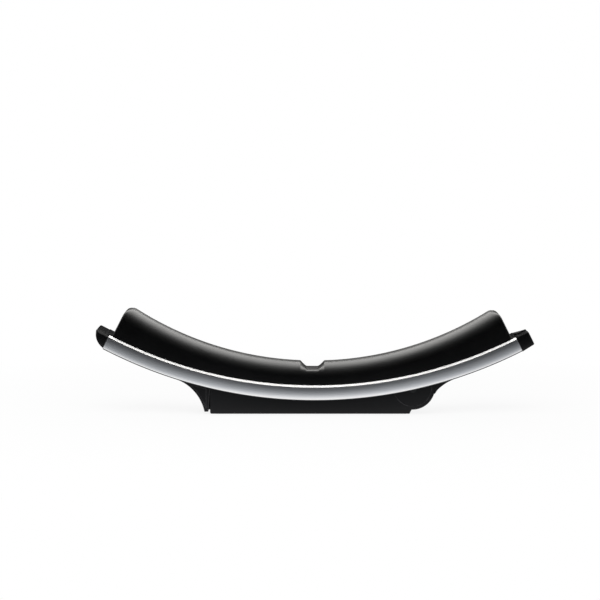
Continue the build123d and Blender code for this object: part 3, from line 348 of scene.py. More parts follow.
@dataclass(frozen=True)
class Finish:
    """A surface finish: colours, gloss and grain of a material slot."""

    name: str
    slot: Slot
    colour: Colour
    patch_colour: Colour
    edge_colour: Colour
    roughness: tuple[float, float]
    metallic: float
    specular: float
    grain_scale: float
    grain_depth: float
    patch_scale: float = 14.0
    edge_radius: float = 0.0012
    edge_share: float = 0.6
    coat: float = 0.0
    coat_roughness: float = 0.3

    def material(self) -> bpy.types.Material:
        """Give the material of this finish, built once.

        Returns:
            The material.
        """
        known = bpy.data.materials.get(self.name)
        if known is not None:
            return known
        material = bpy.data.materials.new(self.name)
        material.use_nodes = True
        graph = Graph(material.node_tree)
        height, patches, colour = self._surface(graph)
        bump = graph.add("ShaderNodeBump", {"Height": height, "Distance": self.grain_depth})
        inputs = {
            "Base Color": colour,
            "Roughness": graph.remap(patches, 0.0, 1.0, *self.roughness),
            "Metallic": self.metallic,
            "Specular IOR Level": self.specular,
            "Coat Weight": self.coat,
            "Coat Roughness": self.coat_roughness,
            "Normal": bump.outputs[0],
        }
        shader = graph.add("ShaderNodeBsdfPrincipled", inputs)
        graph.add("ShaderNodeOutputMaterial", {"Surface": shader.outputs[0]})
        return material

    def _tinted(self, graph: Graph, patches: bpy.types.NodeSocket) -> bpy.types.NodeSocket:
        """Colour of the surface, with its patches and its paler edges: rubbed wear on the metals, a painted
        highlight on the black nylon's rims.

        Args:
            graph: Graph of the material.
            patches: Where the second colour shows.

        Returns:
            The colour.
        """
        inputs = {"Edge Radius": self.edge_radius}
        wear_and_highlight = graph.add("ShaderNodeGroup", inputs, node_tree=EFFECTS.get(Effect.WORN_AND_LIT_EDGES))
        colour = graph.blend(patches, (*self.colour, 1.0), (*self.patch_colour, 1.0))
        # The edge colour is rubbed wear on the metals and a painted highlight on the black nylon.
        edge = graph.math("MULTIPLY", wear_and_highlight.outputs["Mask"], self.edge_share)
        return graph.blend(edge, colour, (*self.edge_colour, 1.0))

    def _surface(self, graph: Graph) -> tuple[bpy.types.NodeSocket, ...]:
        """Add the grain of a moulded or cast surface.

        Args:
            graph: Graph of the material.

        Returns:
            Height for the bump, the patches where colour and gloss differ, and the colour.
        """
        inputs = {"Grain Scale": self.grain_scale, "Patch Scale": self.patch_scale}
        grain = graph.add("ShaderNodeGroup", inputs, node_tree=EFFECTS.get(Effect.MOULDED_GRAIN))
        patches = grain.outputs["Patches"]
        return grain.outputs["Height"], patches, self._tinted(graph, patches)


@dataclass(frozen=True)
class DrawnFinish(Finish):
    """Finish of a drawn and bent section, with streaks along its arc, painted highlights on its top bevel
    and low on its sides, and a painted shade line on its lip.

    The depths are taken from the section's top.
    """

    arc_radius: float = ARC_RADIUS
    arc_height: float = ARC_RADIUS + MID_TOP
    along_scale: float = 6.0
    # Depths of the painted highlights on the top bevel and the lower sides, and of the painted shade on the
    # lip.
    painted_bead_depth: float = 3.9 * MM
    painted_shine_depth: float = 21.6 * MM
    lip_shade_depth: float = 27.1 * MM
    lip_shade_blend: float = 0.3 * MM
    painted_highlight_colour: Colour = (1.0, 1.0, 1.0)
    painted_lip_shade_colour: Colour = (0.05, 0.05, 0.052)

    def _surface(self, graph: Graph) -> tuple[bpy.types.NodeSocket, ...]:
        """Add the die streaks, the painted highlights on the top bevel and low on the sides, and the painted
        shade on the lip, of a drawn section.

        Args:
            graph: Graph of the material.

        Returns:
            Height for the bump, the streaks where colour and gloss differ, and the colour.
        """
        # The painted lip shade starts at lip_start.
        lip_start = self.arc_radius + self.lip_shade_depth
        inputs = {"Arc Height": self.arc_height, "Along Scale": self.along_scale,
                  "Across Scale": self.grain_scale, "Painted Shine Start": self.arc_radius + self.painted_shine_depth,
                  "Lip Shade Start": lip_start, "Lip Shade End": lip_start + self.lip_shade_blend,
                  "Painted Bead End": self.arc_radius + self.painted_bead_depth}
        drawn = graph.add("ShaderNodeGroup", inputs, node_tree=EFFECTS.get(Effect.DRAWN_STREAKS))
        streaks = drawn.outputs["Streaks"]
        # The top bevel and the lower sides are painted white as highlights.
        painted_highlight = graph.math("MAXIMUM", drawn.outputs["Painted Shine"], drawn.outputs["Painted Bead"])
        colour = graph.blend(painted_highlight, self._tinted(graph, streaks), (*self.painted_highlight_colour, 1.0))
        # The lip is painted dark as shade.
        colour = graph.blend(drawn.outputs["Lip Shade"], colour, (*self.painted_lip_shade_colour, 1.0))
        return drawn.outputs["Height"], streaks, colour


RAIL_FINISH = DrawnFinish(
    "drawn_aluminium", Slot.RAIL, colour=(0.80, 0.81, 0.83), patch_colour=(0.86, 0.865, 0.875),
    edge_colour=(0.93, 0.93, 0.93), roughness=(0.36, 0.44), metallic=1.0, specular=0.5, grain_scale=1400.0,
    grain_depth=0.000004, edge_radius=0.0006, edge_share=0.5)
PAD_FINISH = Finish(
    "pad_skin", Slot.PAD, colour=(0.0008, 0.0008, 0.0010), patch_colour=(0.0013, 0.0013, 0.0015),
    edge_colour=(0.006, 0.006, 0.007), roughness=(0.48, 0.54), metallic=0.0, specular=0.65,
    grain_scale=1300.0, grain_depth=0.00002, edge_radius=0.0015, edge_share=0.3, coat=0.4,
    coat_roughness=0.42)
# The nylon's edge colour, far paler than its body, is a painted highlight along its rims.
NYLON_FINISH = Finish(
    "moulded_nylon", Slot.NYLON, colour=(0.0013, 0.0013, 0.0016), patch_colour=(0.0020, 0.0019, 0.0024),
    edge_colour=(0.070, 0.070, 0.074), roughness=(0.36, 0.44), metallic=0.0, specular=0.27,
    grain_scale=1100.0, grain_depth=0.00004, edge_radius=0.0026, edge_share=0.8)
STEEL_FINISH = Finish(
    "plated_steel", Slot.STEEL, colour=(0.55, 0.56, 0.58), patch_colour=(0.68, 0.69, 0.70),
    edge_colour=(0.80, 0.80, 0.79), roughness=(0.28, 0.40), metallic=1.0, specular=0.5, grain_scale=700.0,
    grain_depth=0.00002, patch_scale=160.0, edge_radius=0.0006)
BLACKED_FINISH = Finish(
    "blacked_steel", Slot.STEEL, colour=(0.012, 0.012, 0.013), patch_colour=(0.020, 0.020, 0.021),
    edge_colour=(0.08, 0.08, 0.08), roughness=(0.38, 0.50), metallic=0.0, specular=0.5, grain_scale=700.0,
    grain_depth=0.00002, patch_scale=160.0, edge_radius=0.0006)
CASTING_FINISH = Finish(
    "cast_alloy", Slot.CASTING, colour=(0.42, 0.43, 0.44), patch_colour=(0.50, 0.51, 0.51),
    edge_colour=(0.70, 0.70, 0.70), roughness=(0.48, 0.60), metallic=1.0, specular=0.5, grain_scale=500.0,
    grain_depth=0.00009, patch_scale=60.0, edge_radius=0.0010)
BUSH_FINISH = Finish(
    "natural_nylon", Slot.BUSH, colour=(0.70, 0.68, 0.60), patch_colour=(0.76, 0.74, 0.66),
    edge_colour=(0.80, 0.78, 0.72), roughness=(0.40, 0.52), metallic=0.0, specular=0.5, grain_scale=900.0,
    grain_depth=0.00002)
SOLE_FINISH = Finish(
    "matt_rubber", Slot.SOLE, colour=(0.012, 0.012, 0.012), patch_colour=(0.018, 0.018, 0.017),
    edge_colour=(0.03, 0.03, 0.03), roughness=(0.72, 0.84), metallic=0.0, specular=0.35, grain_scale=600.0,
    grain_depth=0.00010)


def arc_points(centre: Vector, radius: float, start: float, end: float, count: int) -> Ring:
    """Points along a circular arc in a plane.

    Args:
        centre: Centre of the arc.
        radius: Its radius.
        start: First angle, in radians.
        end: Last angle, in radians.
        count: Number of steps.

    Returns:
        The points, both ends included.
    """
    angles = [start + (end - start) * step / count for step in range(count + 1)]
    return [centre + radius * Vector((math.cos(angle), math.sin(angle))) for angle in angles]


def rounded_corner(before: Vector, corner: Vector, after: Vector, radius: float, count: int) -> Ring:
    """Arc that rounds one corner of an outline.

    Args:
        before: Point before the corner.
        corner: The corner.
        after: Point after the corner.
        radius: Radius of the rounding.
        count: Number of steps.

    Returns:
        The points of the arc.
    """
    to_before = (before - corner).normalized()
    to_after = (after - corner).normalized()
    half = to_before.angle(to_after) / 2
    middle = (to_before + to_after).normalized()
    centre = corner + middle * (radius / math.sin(half))
    first = corner + to_before * (radius / math.tan(half)) - centre
    last = corner + to_after * (radius / math.tan(half)) - centre
    turn = first.angle_signed(last)
    points = []
    for step in range(count + 1):
        points.append(centre + Matrix.Rotation(-turn * step / count, 2) @ first)
    return points


def link_object(name: str, data: bpy.types.ID) -> bpy.types.Object:
    """Put a new object into the scene at the origin.

    Args:
        name: Name of the object.
        data: Its mesh, curve or lamp.

    Returns:
        The object.
    """
    made = bpy.data.objects.new(name, data)
    bpy.context.scene.collection.objects.link(made)
    return made


def outline_curve(name: str, outline: Ring, closed: bool) -> bpy.types.Object:
    """Make a flat curve of straight stretches from an outline.

    Args:
        name: Name of the curve.
        outline: Its points.
        closed: Whether the last point joins the first.

    Returns:
        The curve's object.
    """
    curve = bpy.data.curves.new(name, "CURVE")
    curve.dimensions = "2D"
    spline = curve.splines.new("POLY")
    spline.points.add(len(outline) - 1)
    for target, point in zip(spline.points, outline):
        target.co = (point.x, point.y, 0.0, 1.0)
    spline.use_cyclic_u = closed
    return link_object(name, curve)


def kept_mesh(name: str, work: bmesh.types.BMesh) -> bpy.types.Mesh:
    """Keep a worked mesh under a name and free the work.

    Args:
        name: Name of the mesh.
        work: The worked mesh.

    Returns:
        The mesh.
    """
    mesh = bpy.data.meshes.new(name)
    work.to_mesh(mesh)
    work.free()
    return mesh


def face_outwards(mesh: bpy.types.Mesh) -> None:
    """Merge double points of a closed mesh and turn its faces outwards.

    Args:
        mesh: The mesh.
    """
    work = bmesh.new()
    work.from_mesh(mesh)
    bmesh.ops.remove_doubles(work, verts=work.verts, dist=MERGE_DISTANCE)
    bmesh.ops.recalc_face_normals(work, faces=work.faces)
    work.to_mesh(mesh)
    work.free()


def smooth_mesh(mesh: bpy.types.Mesh, sharp_degrees: float = 40.0) -> None:
    """Shade a mesh smooth apart from its sharp edges.

    Args:
        mesh: The mesh.
        sharp_degrees: Edges that turn by more stay sharp.
    """
    mesh.shade_smooth()
    mesh.set_sharp_from_angle(angle=math.radians(sharp_degrees))


def weigh_normals(piece: bpy.types.Object) -> None:
    """Let the larger faces of a piece set its shading."""
    modifier = piece.modifiers.new("face_weights", "WEIGHTED_NORMAL")
    modifier.keep_sharp = True


def place_piece(piece: bpy.types.Object, body: Body, finish: Finish, *replaced: str) -> None:
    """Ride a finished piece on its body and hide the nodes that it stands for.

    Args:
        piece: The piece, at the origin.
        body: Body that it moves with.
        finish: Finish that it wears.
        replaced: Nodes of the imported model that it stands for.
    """
    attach(piece, body.value)
    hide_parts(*replaced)
    LOG.info("%s rides on %s in %s", piece.name, body.value, finish.name)


def node_input(tree: bpy.types.NodeTree, name: str) -> str:
    """Give the identifier of a tree's input.

    Args:
        tree: Geometry tree.
        name: Name of the input.

    Returns:
        The identifier that a modifier takes.
    """
    sockets = [item for item in tree.interface.items_tree if item.in_out == "INPUT" and item.name == name]
    return sockets[0].identifier


def grown_mesh(name: str, tree: bpy.types.NodeTree, inputs: dict[str, object]) -> bpy.types.Mesh:
    """Run a geometry tree once and keep its result as a plain mesh.

    Args:
        name: Name of the mesh.
        tree: Geometry tree.
        inputs: Values of its inputs by name.

    Returns:
        The mesh.
    """
    seed = link_object(name + "_seed", bpy.data.meshes.new(name + "_seed"))
    modifier = seed.modifiers.new("grow", "NODES")
    modifier.node_group = tree
    for key, value in inputs.items():
        modifier[node_input(tree, key)] = value
    graph = bpy.context.evaluated_depsgraph_get()
    mesh = bpy.data.meshes.new_from_object(seed.evaluated_get(graph))
    mesh.name = name
    seed.modifiers.remove(modifier)
    bpy.data.objects.remove(seed)
    return mesh


def geometry_tree(name: str, inputs: dict[str, str]) -> tuple[Graph, dict, bpy.types.NodeSocket]:
    """Make an empty geometry tree with one geometry output.

    Args:
        name: Name of the tree.
        inputs: Socket types of its inputs by name.

    Returns:
        The graph, its inputs by name and the socket that takes its result.
    """
    tree = bpy.data.node_groups.new(name, "GeometryNodeTree")
    for key, kind in inputs.items():
        tree.interface.new_socket(name=key, in_out="INPUT", socket_type=kind)
    tree.interface.new_socket(name="Geometry", in_out="OUTPUT", socket_type="NodeSocketGeometry")
    graph = Graph(tree)
    given = graph.add("NodeGroupInput").outputs
    return graph, given, graph.add("NodeGroupOutput").inputs["Geometry"]


def dressed_tree(graph: Graph, shape: bpy.types.NodeSocket, finish: bpy.types.NodeSocket,
                 result: bpy.types.NodeSocket) -> bpy.types.NodeTree:
    """Make a tree's shape real, give it its material and send it out.

    Args:
        graph: Graph of the tree.
        shape: Geometry that the tree makes.
        finish: The tree's material input.
        result: Socket that takes the tree's result.

    Returns:
        The whole tree.
    """
    real = graph.add("GeometryNodeRealizeInstances", {"Geometry": shape}).outputs[0]
    dressed = graph.add("GeometryNodeSetMaterial", {"Geometry": real, "Material": finish})
    graph.wire(result, dressed.outputs[0])
    return graph.tree


@dataclass
class SaddleRail:
    """Bent aluminium channel: one section swept along the saddle's arc."""

    arc_radius: float = ARC_RADIUS
    mid_top: float = MID_TOP
    length: float = 772.4 * MM
    lead: float = 4.3 * MM
    width: float = 80 * MM
    height: float = 29.6 * MM
    wall: float = 3 * MM
    web: float = 3.6 * MM
    bevel: float = 3.7 * MM
    flat: float = 8.6 * MM
    tuck: float = 7 * MM
    edge_round: float = 0.7 * MM
    lip_round: float = 1.3 * MM
    steps: int = 160
    side_steps: int = 14
    edge_steps: int = 3
    lip_steps: int = 4
    inner_steps: int = 2

    @property
    def arc_height(self) -> float:
        """Height of the arc's centre."""
        return self.mid_top + self.arc_radius

    @property
    def end_angle(self) -> float:
        """Angle from the middle to an end, in radians."""
        return self.length / 2 / self.arc_radius

    @property
    def lead_angle(self) -> float:
        """Angle by which the middle lies left of the arc's lowest point."""
        return self.lead / self.arc_radius

    def half_section(self) -> Ring:
        """Outline of the section's right half, from its top round the lip to the web's underside.

        Returns:
            Points across and down from the middle of the top.
        """
        half = self.width / 2
        drop = self.height - self.flat
        radius = (drop ** 2 + self.tuck ** 2) / (2 * self.tuck)
        turn = math.asin(drop / radius)
        centre = Vector((half - radius, self.flat))
        outer = arc_points(centre, radius, 0.0, turn, self.side_steps)
        inner = arc_points(centre, radius - self.wall, turn, 0.0, self.side_steps)
        inside = half - self.wall
        inner_bevel = self.bevel - self.wall * (2 - math.sqrt(2))
        corners = [Vector((half - self.bevel, 0.0)), Vector((half, self.bevel))]
        lips = [outer.pop(), inner.pop(0)]
        under = [Vector((inside, self.web + inner_bevel)), Vector((inside - inner_bevel, self.web))]
        ring = rounded_corner(Vector((0, 0)), *corners, self.edge_round, self.edge_steps)
        ring += rounded_corner(*corners, outer[0], self.edge_round, self.edge_steps)
        ring += outer
        ring += rounded_corner(outer[-1], *lips, self.lip_round, self.lip_steps)
        ring += rounded_corner(*lips, inner[0], self.lip_round, self.lip_steps)
        ring += inner
        ring += rounded_corner(inner[-1], *under, self.edge_round, self.inner_steps)
        ring += rounded_corner(*under, Vector((0, self.web)), self.edge_round, self.inner_steps)
        return ring

    def section_curve(self) -> bpy.types.Object:
        """Make the closed section as a curve in its own plane.

        Returns:
            The curve's object.
        """
        right = self.half_section()
        left = [Vector((-point.x, point.y)) for point in reversed(right)]
        return outline_curve("rail_section", right + left, True)

    def sweep_tree(self) -> bpy.types.NodeTree:
        """Build the tree that sweeps a section along an arc which sags from its two ends.

        Returns:
            The geometry tree.
        """
        graph, given, result = geometry_tree("rail_sweep", {
            "Arc Radius": "NodeSocketFloat", "Arc Height": "NodeSocketFloat", "End Angle": "NodeSocketFloat",
            "Lead Angle": "NodeSocketFloat", "Steps": "NodeSocketInt", "Section": "NodeSocketObject",
            "Finish": "NodeSocketMaterial"})
        reach = graph.math("ADD", given["End Angle"], given["Lead Angle"])
        start = graph.math("SUBTRACT", -math.pi / 2, reach)
        sweep = graph.math("MULTIPLY", given["End Angle"], 2.0)
        arc = graph.add("GeometryNodeCurveArc", {
            "Resolution": given["Steps"], "Radius": given["Arc Radius"], "Start Angle": start,
            "Sweep Angle": sweep}, mode="RADIUS")
        lift = graph.add("ShaderNodeCombineXYZ", {"Z": given["Arc Height"]})
        stood = graph.add("GeometryNodeTransform", {
            "Geometry": arc.outputs["Curve"], "Rotation": (math.pi / 2, 0.0, 0.0),
            "Translation": lift.outputs[0]})
        upright = graph.add("GeometryNodeSetCurveNormal", {"Curve": stood.outputs[0]}, mode="Z_UP")
        section = graph.add("GeometryNodeObjectInfo", {"Object": given["Section"]})
        swept = graph.add("GeometryNodeCurveToMesh", {
            "Curve": upright.outputs[0], "Profile Curve": section.outputs["Geometry"], "Fill Caps": True})
        return dressed_tree(graph, swept.outputs[0], given["Finish"], result)

    def build(self) -> bpy.types.Object:
        """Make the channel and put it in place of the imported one.

        Returns:
            The channel.
        """
        section = self.section_curve()
        mesh = grown_mesh("rail", self.sweep_tree(), {
            "Arc Radius": self.arc_radius, "Arc Height": self.arc_height, "End Angle": self.end_angle,
            "Lead Angle": self.lead_angle, "Steps": self.steps, "Section": section,
            "Finish": RAIL_FINISH.material()})
        bpy.data.objects.remove(section)
        face_outwards(mesh)
        smooth_mesh(mesh)
        piece = link_object("rail", mesh)
        weigh_normals(piece)
        place_piece(piece, Body.SADDLE, RAIL_FINISH, "saddle_channel")
        return piece


@dataclass
class HullPad:
    """Moulded pad on the rail: thicker towards its ends, with a keel groove across its middle."""

    rail: SaddleRail
    seat_gap: float = 0.3 * MM
    mid_thickness: float = 40 * MM
    end_thickness: float = 62 * MM
    end_setback: float = 5 * MM
    right_trim: float = 2.3 * MM
    shoulder: float = 27 * MM
    end_round: float = 18 * MM
    side_round: float = 3 * MM
    foot_round: float = 1.6 * MM
    groove_width: float = 45 * MM
    groove_floor: float = 22 * MM
    groove_depth: float = 12 * MM
    groove_round: float = 4 * MM
    groove_lip: float = 3 * MM
    crease: float = 3 * MM
    station_pitch: float = 5 * MM
    floor_share: float = 1 / 3
    wall_shares: tuple[float, float] = (0.33, 0.67)
    ring_steps: int = 14
    groove_steps: int = 5
    foot_steps: int = 4
    shoulder_steps: int = 20
    sharp_degrees: float = 55.0

    @property
    def half_width(self) -> float:
        """Half of the pad's width, between the rail's bevels."""
        return self.rail.width / 2 - self.rail.bevel

    @property
    def end_angle(self) -> float:
        """Angle from the middle to the pad's end face."""
        return (self.rail.length / 2 - self.end_setback) / self.rail.arc_radius

    def crown(self) -> tuple[float, float]:
        """Circle of the crown, through its middle and its two ends.

        Returns:
            Radius of the circle and the height of its centre.
        """
        reach = self.rail.arc_radius - self.end_thickness
        across = reach * math.sin(self.end_angle)
        low = self.rail.mid_top + self.mid_thickness
        rise = self.rail.arc_height - reach * math.cos(self.end_angle) - low
        radius = (across ** 2 + rise ** 2) / (2 * rise)
        return radius, low + radius

    def thickness(self, angle: float) -> float:
        """Thickness of the pad over the rail, with no groove.

        Args:
            angle: Angle from the middle.

        Returns:
            Distance from the rail's top to the crown.
        """
        radius, centre = self.crown()
        offset = self.rail.arc_height - centre
        reach = offset * math.cos(angle) + math.sqrt(radius ** 2 - (offset * math.sin(angle)) ** 2)
        return self.rail.arc_radius - reach

    def groove_outline(self) -> Ring:
        """Right half of the groove's outline, with its lip and its floor rounded.

        Returns:
            Points of distance from the middle and depth below the crown.
        """
        centre = Vector((0.0, self.groove_depth))
        floor = Vector((self.groove_floor / 2, self.groove_depth))
        lip = Vector((self.groove_width / 2, 0.0))
        away = Vector((self.groove_width, 0.0))
        ring = [centre, centre.lerp(floor, self.floor_share)]
        ring += rounded_corner(centre, floor, lip, self.groove_round, self.groove_steps)
        ring += rounded_corner(floor, lip, away, self.groove_lip, self.groove_steps)
        return ring

    def stations(self) -> list[tuple[float, float, float]]:
        """Sections along the right half of the pad, from its middle to its end.

        Returns:
            Angle, cut below the crown and drawing-in of the sides at each section.
        """
        crown_reach = self.rail.arc_radius - self.mid_thickness
        rows = [(point.x / crown_reach, point.y, 0.0) for point in self.groove_outline()]
        end_reach = self.rail.arc_radius - self.end_thickness
        round_start = self.end_angle - self.end_round / end_reach
        start = rows[-1][0]
        count = round((round_start - start) * crown_reach / self.station_pitch)
        rows += [(start + (round_start - start) * step / count, 0.0, 0.0) for step in range(1, count)]
        turns = [math.pi / 2 * step / self.ring_steps for step in range(self.ring_steps + 1)]
        for turn in turns:
            from_end = self.end_round * (1 - math.sin(turn))
            drop = self.end_round * (1 - math.cos(turn))
            inside = max(self.side_round - from_end, 0.0)
            draw = self.side_round - math.sqrt(self.side_round ** 2 - inside ** 2)
            rows.append((self.end_angle - from_end / end_reach, drop, draw))
        return rows

    def half_ring(self, angle: float, cut: float, draw: float) -> Ring:
        """Front half of one section, from the middle of the seat to the middle of the crown.

        Args:
            angle: Angle of the section.
            cut: Depth that the groove or the end takes off the crown.
            draw: How far the sides are drawn in.

        Returns:
            Points of distance from the middle plane and height over the rail.
        """
        half = self.half_width - draw
        thick = self.thickness(angle)
        foot = self.foot_round
        shoulder = self.shoulder - draw
        ring = [Vector((half * share, 0.0)) for share in (0.0, 0.5)]
        ring += arc_points(Vector((half - foot, foot)), foot, -math.pi / 2, 0.0, self.foot_steps)
        wall = thick - self.shoulder - foot
        ring += [Vector((half, foot + wall * share)) for share in self.wall_shares]
        bend = Vector((half - shoulder, thick - self.shoulder))
        ring += arc_points(bend, shoulder, 0.0, math.pi / 2, self.shoulder_steps)
        ring += [Vector(((half - shoulder) * share, thick)) for share in (0.5, 0.0)]
        soft = self.crease * min(1.0, cut / self.crease)
        lowered = []
        for point in ring:
            depth = thick - point.y
            gap = depth - cut
            sunk = (depth + cut + math.sqrt(gap * gap + soft * soft)) / 2
            keep = min(1.0, point.y / (thick - self.shoulder))
            lowered.append(Vector((point.x, thick - depth - (sunk - depth) * keep)))
        return lowered

    def build(self) -> bpy.types.Object:
        """Loft the sections into one closed pad.

        Returns:
            The pad.
        """
        half = self.stations()
        trimmed = 1 - self.right_trim / (self.end_angle * self.rail.arc_radius)
        rows = [(-angle, cut, draw) for angle, cut, draw in reversed(half[1:])]
        rows += [(angle * trimmed, cut, draw) for angle, cut, draw in half]
        work = bmesh.new()
        rings = []
        for angle, cut, draw in rows:
            front = self.half_ring(angle, cut, draw)
            outline = [Vector((-point.x, point.y)) for point in front] + front[-2:0:-1]
            turn = angle - self.rail.lead_angle
            up = Vector((-math.sin(turn), 0.0, math.cos(turn)))
            seat = Vector((0.0, 0.0, self.rail.arc_height)) - up * (self.rail.arc_radius - self.seat_gap)
            places = [seat + up * point.y + Vector((0.0, point.x, 0.0)) for point in outline]
            rings.append([work.verts.new(place) for place in places])
        count = len(rings[0])
        for near, far in zip(rings, rings[1:]):
            for index in range(count):
                after = (index + 1) % count
                work.faces.new((near[index], near[after], far[after], far[index]))
        work.faces.new(rings[0])
        work.faces.new(list(reversed(rings[-1])))
        bmesh.ops.recalc_face_normals(work, faces=work.faces)
        mesh = kept_mesh("pad", work)
        smooth_mesh(mesh, self.sharp_degrees)
        mesh.materials.append(PAD_FINISH.material())
        piece = link_object("pad", mesh)
        weigh_normals(piece)
        place_piece(piece, Body.SADDLE, PAD_FINISH, "hull_pad")
        return piece


@dataclass
class SocketScrews:
    """Round-headed socket screws under the rail's web, grown from one turned profile."""

    rail: SaddleRail
    head_radius: float = 4 * MM
    head_height: float = 2.6 * MM
    head_round: float = 1.0 * MM
    shank_radius: float = 2 * MM
    shank_tip: float = 0.5 * MM
    socket_width: float = 3 * MM
    socket_depth: float = 1.4 * MM
    seat_gap: float = 0.1 * MM
    pad_angles: tuple[float, ...] = (-22.0, -6.0, 6.0, 22.0)
    pad_length: float = 16 * MM
    plug_length: float = 30 * MM
    plug_wall: float = 4 * MM
    plug_row: float = 28 * MM
    turn_steps: int = 32
    head_steps: int = 6
    key_sides: int = 6
    core: float = 0.1 * MM
    weld: float = 0.01 * MM

    def profile_curve(self, length: float) -> bpy.types.Object:
        """Make half of a screw's outline as a curve, from the shank's tip to the middle of the head.

        Args:
            length: Length of the shank.

        Returns:
            The curve's object, with x away from the turning circle and y down the screw.
        """
        shank, head, low = self.shank_radius, self.head_radius, self.head_height
        outline = [Vector((0.0, -length)), Vector((shank - self.shank_tip, -length)),
                   Vector((shank, self.shank_tip - length)), Vector((shank, 0.0)), Vector((head, 0.0))]
        middle = Vector((0.0, low))
        outline += rounded_corner(outline[-1], Vector((head, low)), middle, self.head_round, self.head_steps)
        outline.append(middle)
        return outline_curve("screw_profile", [point - Vector((self.core, 0.0)) for point in outline], False)

    def places_mesh(self, places: list[tuple[float, float, float]]) -> bpy.types.Object:
        """Make one point for each screw, with the screw's lean as an attribute.

        Args:
            places: Angle along the arc, distance from the arc's centre and place across of each screw.

        Returns:
            The object that holds the points.
        """
        points = [(reach * math.sin(angle), across, self.rail.arc_height - reach * math.cos(angle))
                  for angle, reach, across in places]
        mesh = bpy.data.meshes.new("screw_places")
        mesh.from_pydata(points, [], [])
        lean = mesh.attributes.new("lean", "FLOAT", "POINT")
        lean.data.foreach_set("value", [-angle for angle, _, _ in places])
        return link_object("screw_places", mesh)

    def screw_tree(self) -> bpy.types.NodeTree:
        """Build the tree that turns a profile, cuts its key socket and sets a screw on every point.

        Returns:
            The geometry tree.
        """
        graph, given, result = geometry_tree("screw_row", {
            "Profile": "NodeSocketObject", "Places": "NodeSocketObject", "Core": "NodeSocketFloat",
            "Steps": "NodeSocketInt", "Socket Radius": "NodeSocketFloat", "Socket Depth": "NodeSocketFloat",
            "Head Height": "NodeSocketFloat", "Finish": "NodeSocketMaterial"})
        circle = graph.add("GeometryNodeCurvePrimitiveCircle", {
            "Resolution": given["Steps"], "Radius": given["Core"]})
        profile = graph.add("GeometryNodeObjectInfo", {"Object": given["Profile"]})
        turned = graph.add("GeometryNodeCurveToMesh", {
            "Curve": circle.outputs[0], "Profile Curve": profile.outputs["Geometry"]})
        closed = graph.add("GeometryNodeMergeByDistance", {
            "Geometry": turned.outputs[0], "Distance": self.weld})
        depth = graph.math("MULTIPLY", given["Socket Depth"], 2.0)
        key = graph.add("GeometryNodeMeshCylinder", {
            "Vertices": self.key_sides, "Radius": given["Socket Radius"], "Depth": depth})
        low = graph.add("ShaderNodeCombineXYZ", {"Z": graph.math("MULTIPLY", given["Head Height"], -1.0)})
        placed_key = graph.add("GeometryNodeTransform", {
            "Geometry": key.outputs[0], "Translation": low.outputs[0]})
        cut = graph.add("GeometryNodeMeshBoolean", {
            "Mesh 1": closed.outputs[0], "Mesh 2": placed_key.outputs[0]}, operation="DIFFERENCE")
        places = graph.add("GeometryNodeObjectInfo", {"Object": given["Places"]})
        lean = graph.add("GeometryNodeInputNamedAttribute", {"Name": "lean"}, data_type="FLOAT")
        euler = graph.add("ShaderNodeCombineXYZ", {"Y": lean.outputs[0]})
        turn = graph.add("FunctionNodeEulerToRotation", {0: euler.outputs[0]})
        row = graph.add("GeometryNodeInstanceOnPoints", {
            "Points": places.outputs["Geometry"], "Instance": cut.outputs[0], "Rotation": turn.outputs[0]})
        return dressed_tree(graph, row.outputs[0], given["Finish"], result)

    def grow(self, name: str, tree: bpy.types.NodeTree, length: float,
             places: list[tuple[float, float, float]]) -> bpy.types.Object:
        """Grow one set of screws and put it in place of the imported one.

        Args:
            name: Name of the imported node.
            tree: Tree that makes the screws.
            length: Length of the shanks.
            places: Angle, distance from the arc's centre and place across of each screw.

        Returns:
            The screws.
        """
        helpers = [self.profile_curve(length), self.places_mesh(places)]
        mesh = grown_mesh(name + "_detailed", tree, {
            "Profile": helpers[0], "Places": helpers[1], "Core": self.core, "Steps": self.turn_steps,
            "Socket Radius": self.socket_width / math.sqrt(3), "Socket Depth": self.socket_depth,
            "Head Height": self.head_height, "Finish": STEEL_FINISH.material()})
        for helper in helpers:
            bpy.data.objects.remove(helper)
        face_outwards(mesh)
        smooth_mesh(mesh)
        piece = link_object(name + "_detailed", mesh)
        place_piece(piece, Body.SADDLE, STEEL_FINISH, name)
        return piece

    def build(self) -> None:
        """Grow the screws that hold the pad and those that hold the end caps."""
        rail = self.rail
        tree = self.screw_tree()
        under = rail.arc_radius + rail.web + self.seat_gap
        pad = [(math.radians(angle) - rail.lead_angle, under, 0.0) for angle in self.pad_angles]
        self.grow("pad_screws", tree, self.pad_length, pad)
        plug_angle = rail.end_angle - self.plug_length / 2 / rail.arc_radius
        plugs = [(side * plug_angle - rail.lead_angle, under + self.plug_wall, across * self.plug_row / 2)
                 for side in (-1, 1) for across in (-1, 1)]
        self.grow("end_cap_screws", tree, self.plug_wall + rail.web, plugs)


def ramp(value: float, start: float, end: float) -> float:
    """Share of the way from one value to another.

    Args:
        value: Value to place.
        start: Value at share 0.
        end: Value at share 1.

    Returns:
        The share, held between 0 and 1.
    """
    return min(1.0, max(0.0, (value - start) / (end - start)))


@dataclass
class EndFrame:
    """Axes at one end of the rail: outwards along the arc, and up towards the arc's centre."""

    rail: SaddleRail
    side: int

    def __post_init__(self) -> None:
        """Work out the origin and the axes."""
        turn = self.side * self.rail.end_angle - self.rail.lead_angle
        self.up = Vector((-math.sin(turn), 0.0, math.cos(turn)))
        self.out = Vector((math.cos(turn), 0.0, math.sin(turn))) * self.side
        self.origin = Vector((0.0, 0.0, self.rail.arc_height)) - self.up * self.rail.arc_radius

    def local(self, point: Vector) -> tuple[float, float]:
        """Give a point's places along and up."""
        return (point - self.origin).dot(self.out), (point - self.origin).dot(self.up)

    def place(self, along: float, across: float, high: float) -> Vector:
        """Give the point at places along, across and up."""
        return self.origin + self.out * along + self.up * high + Vector((0.0, across, 0.0))


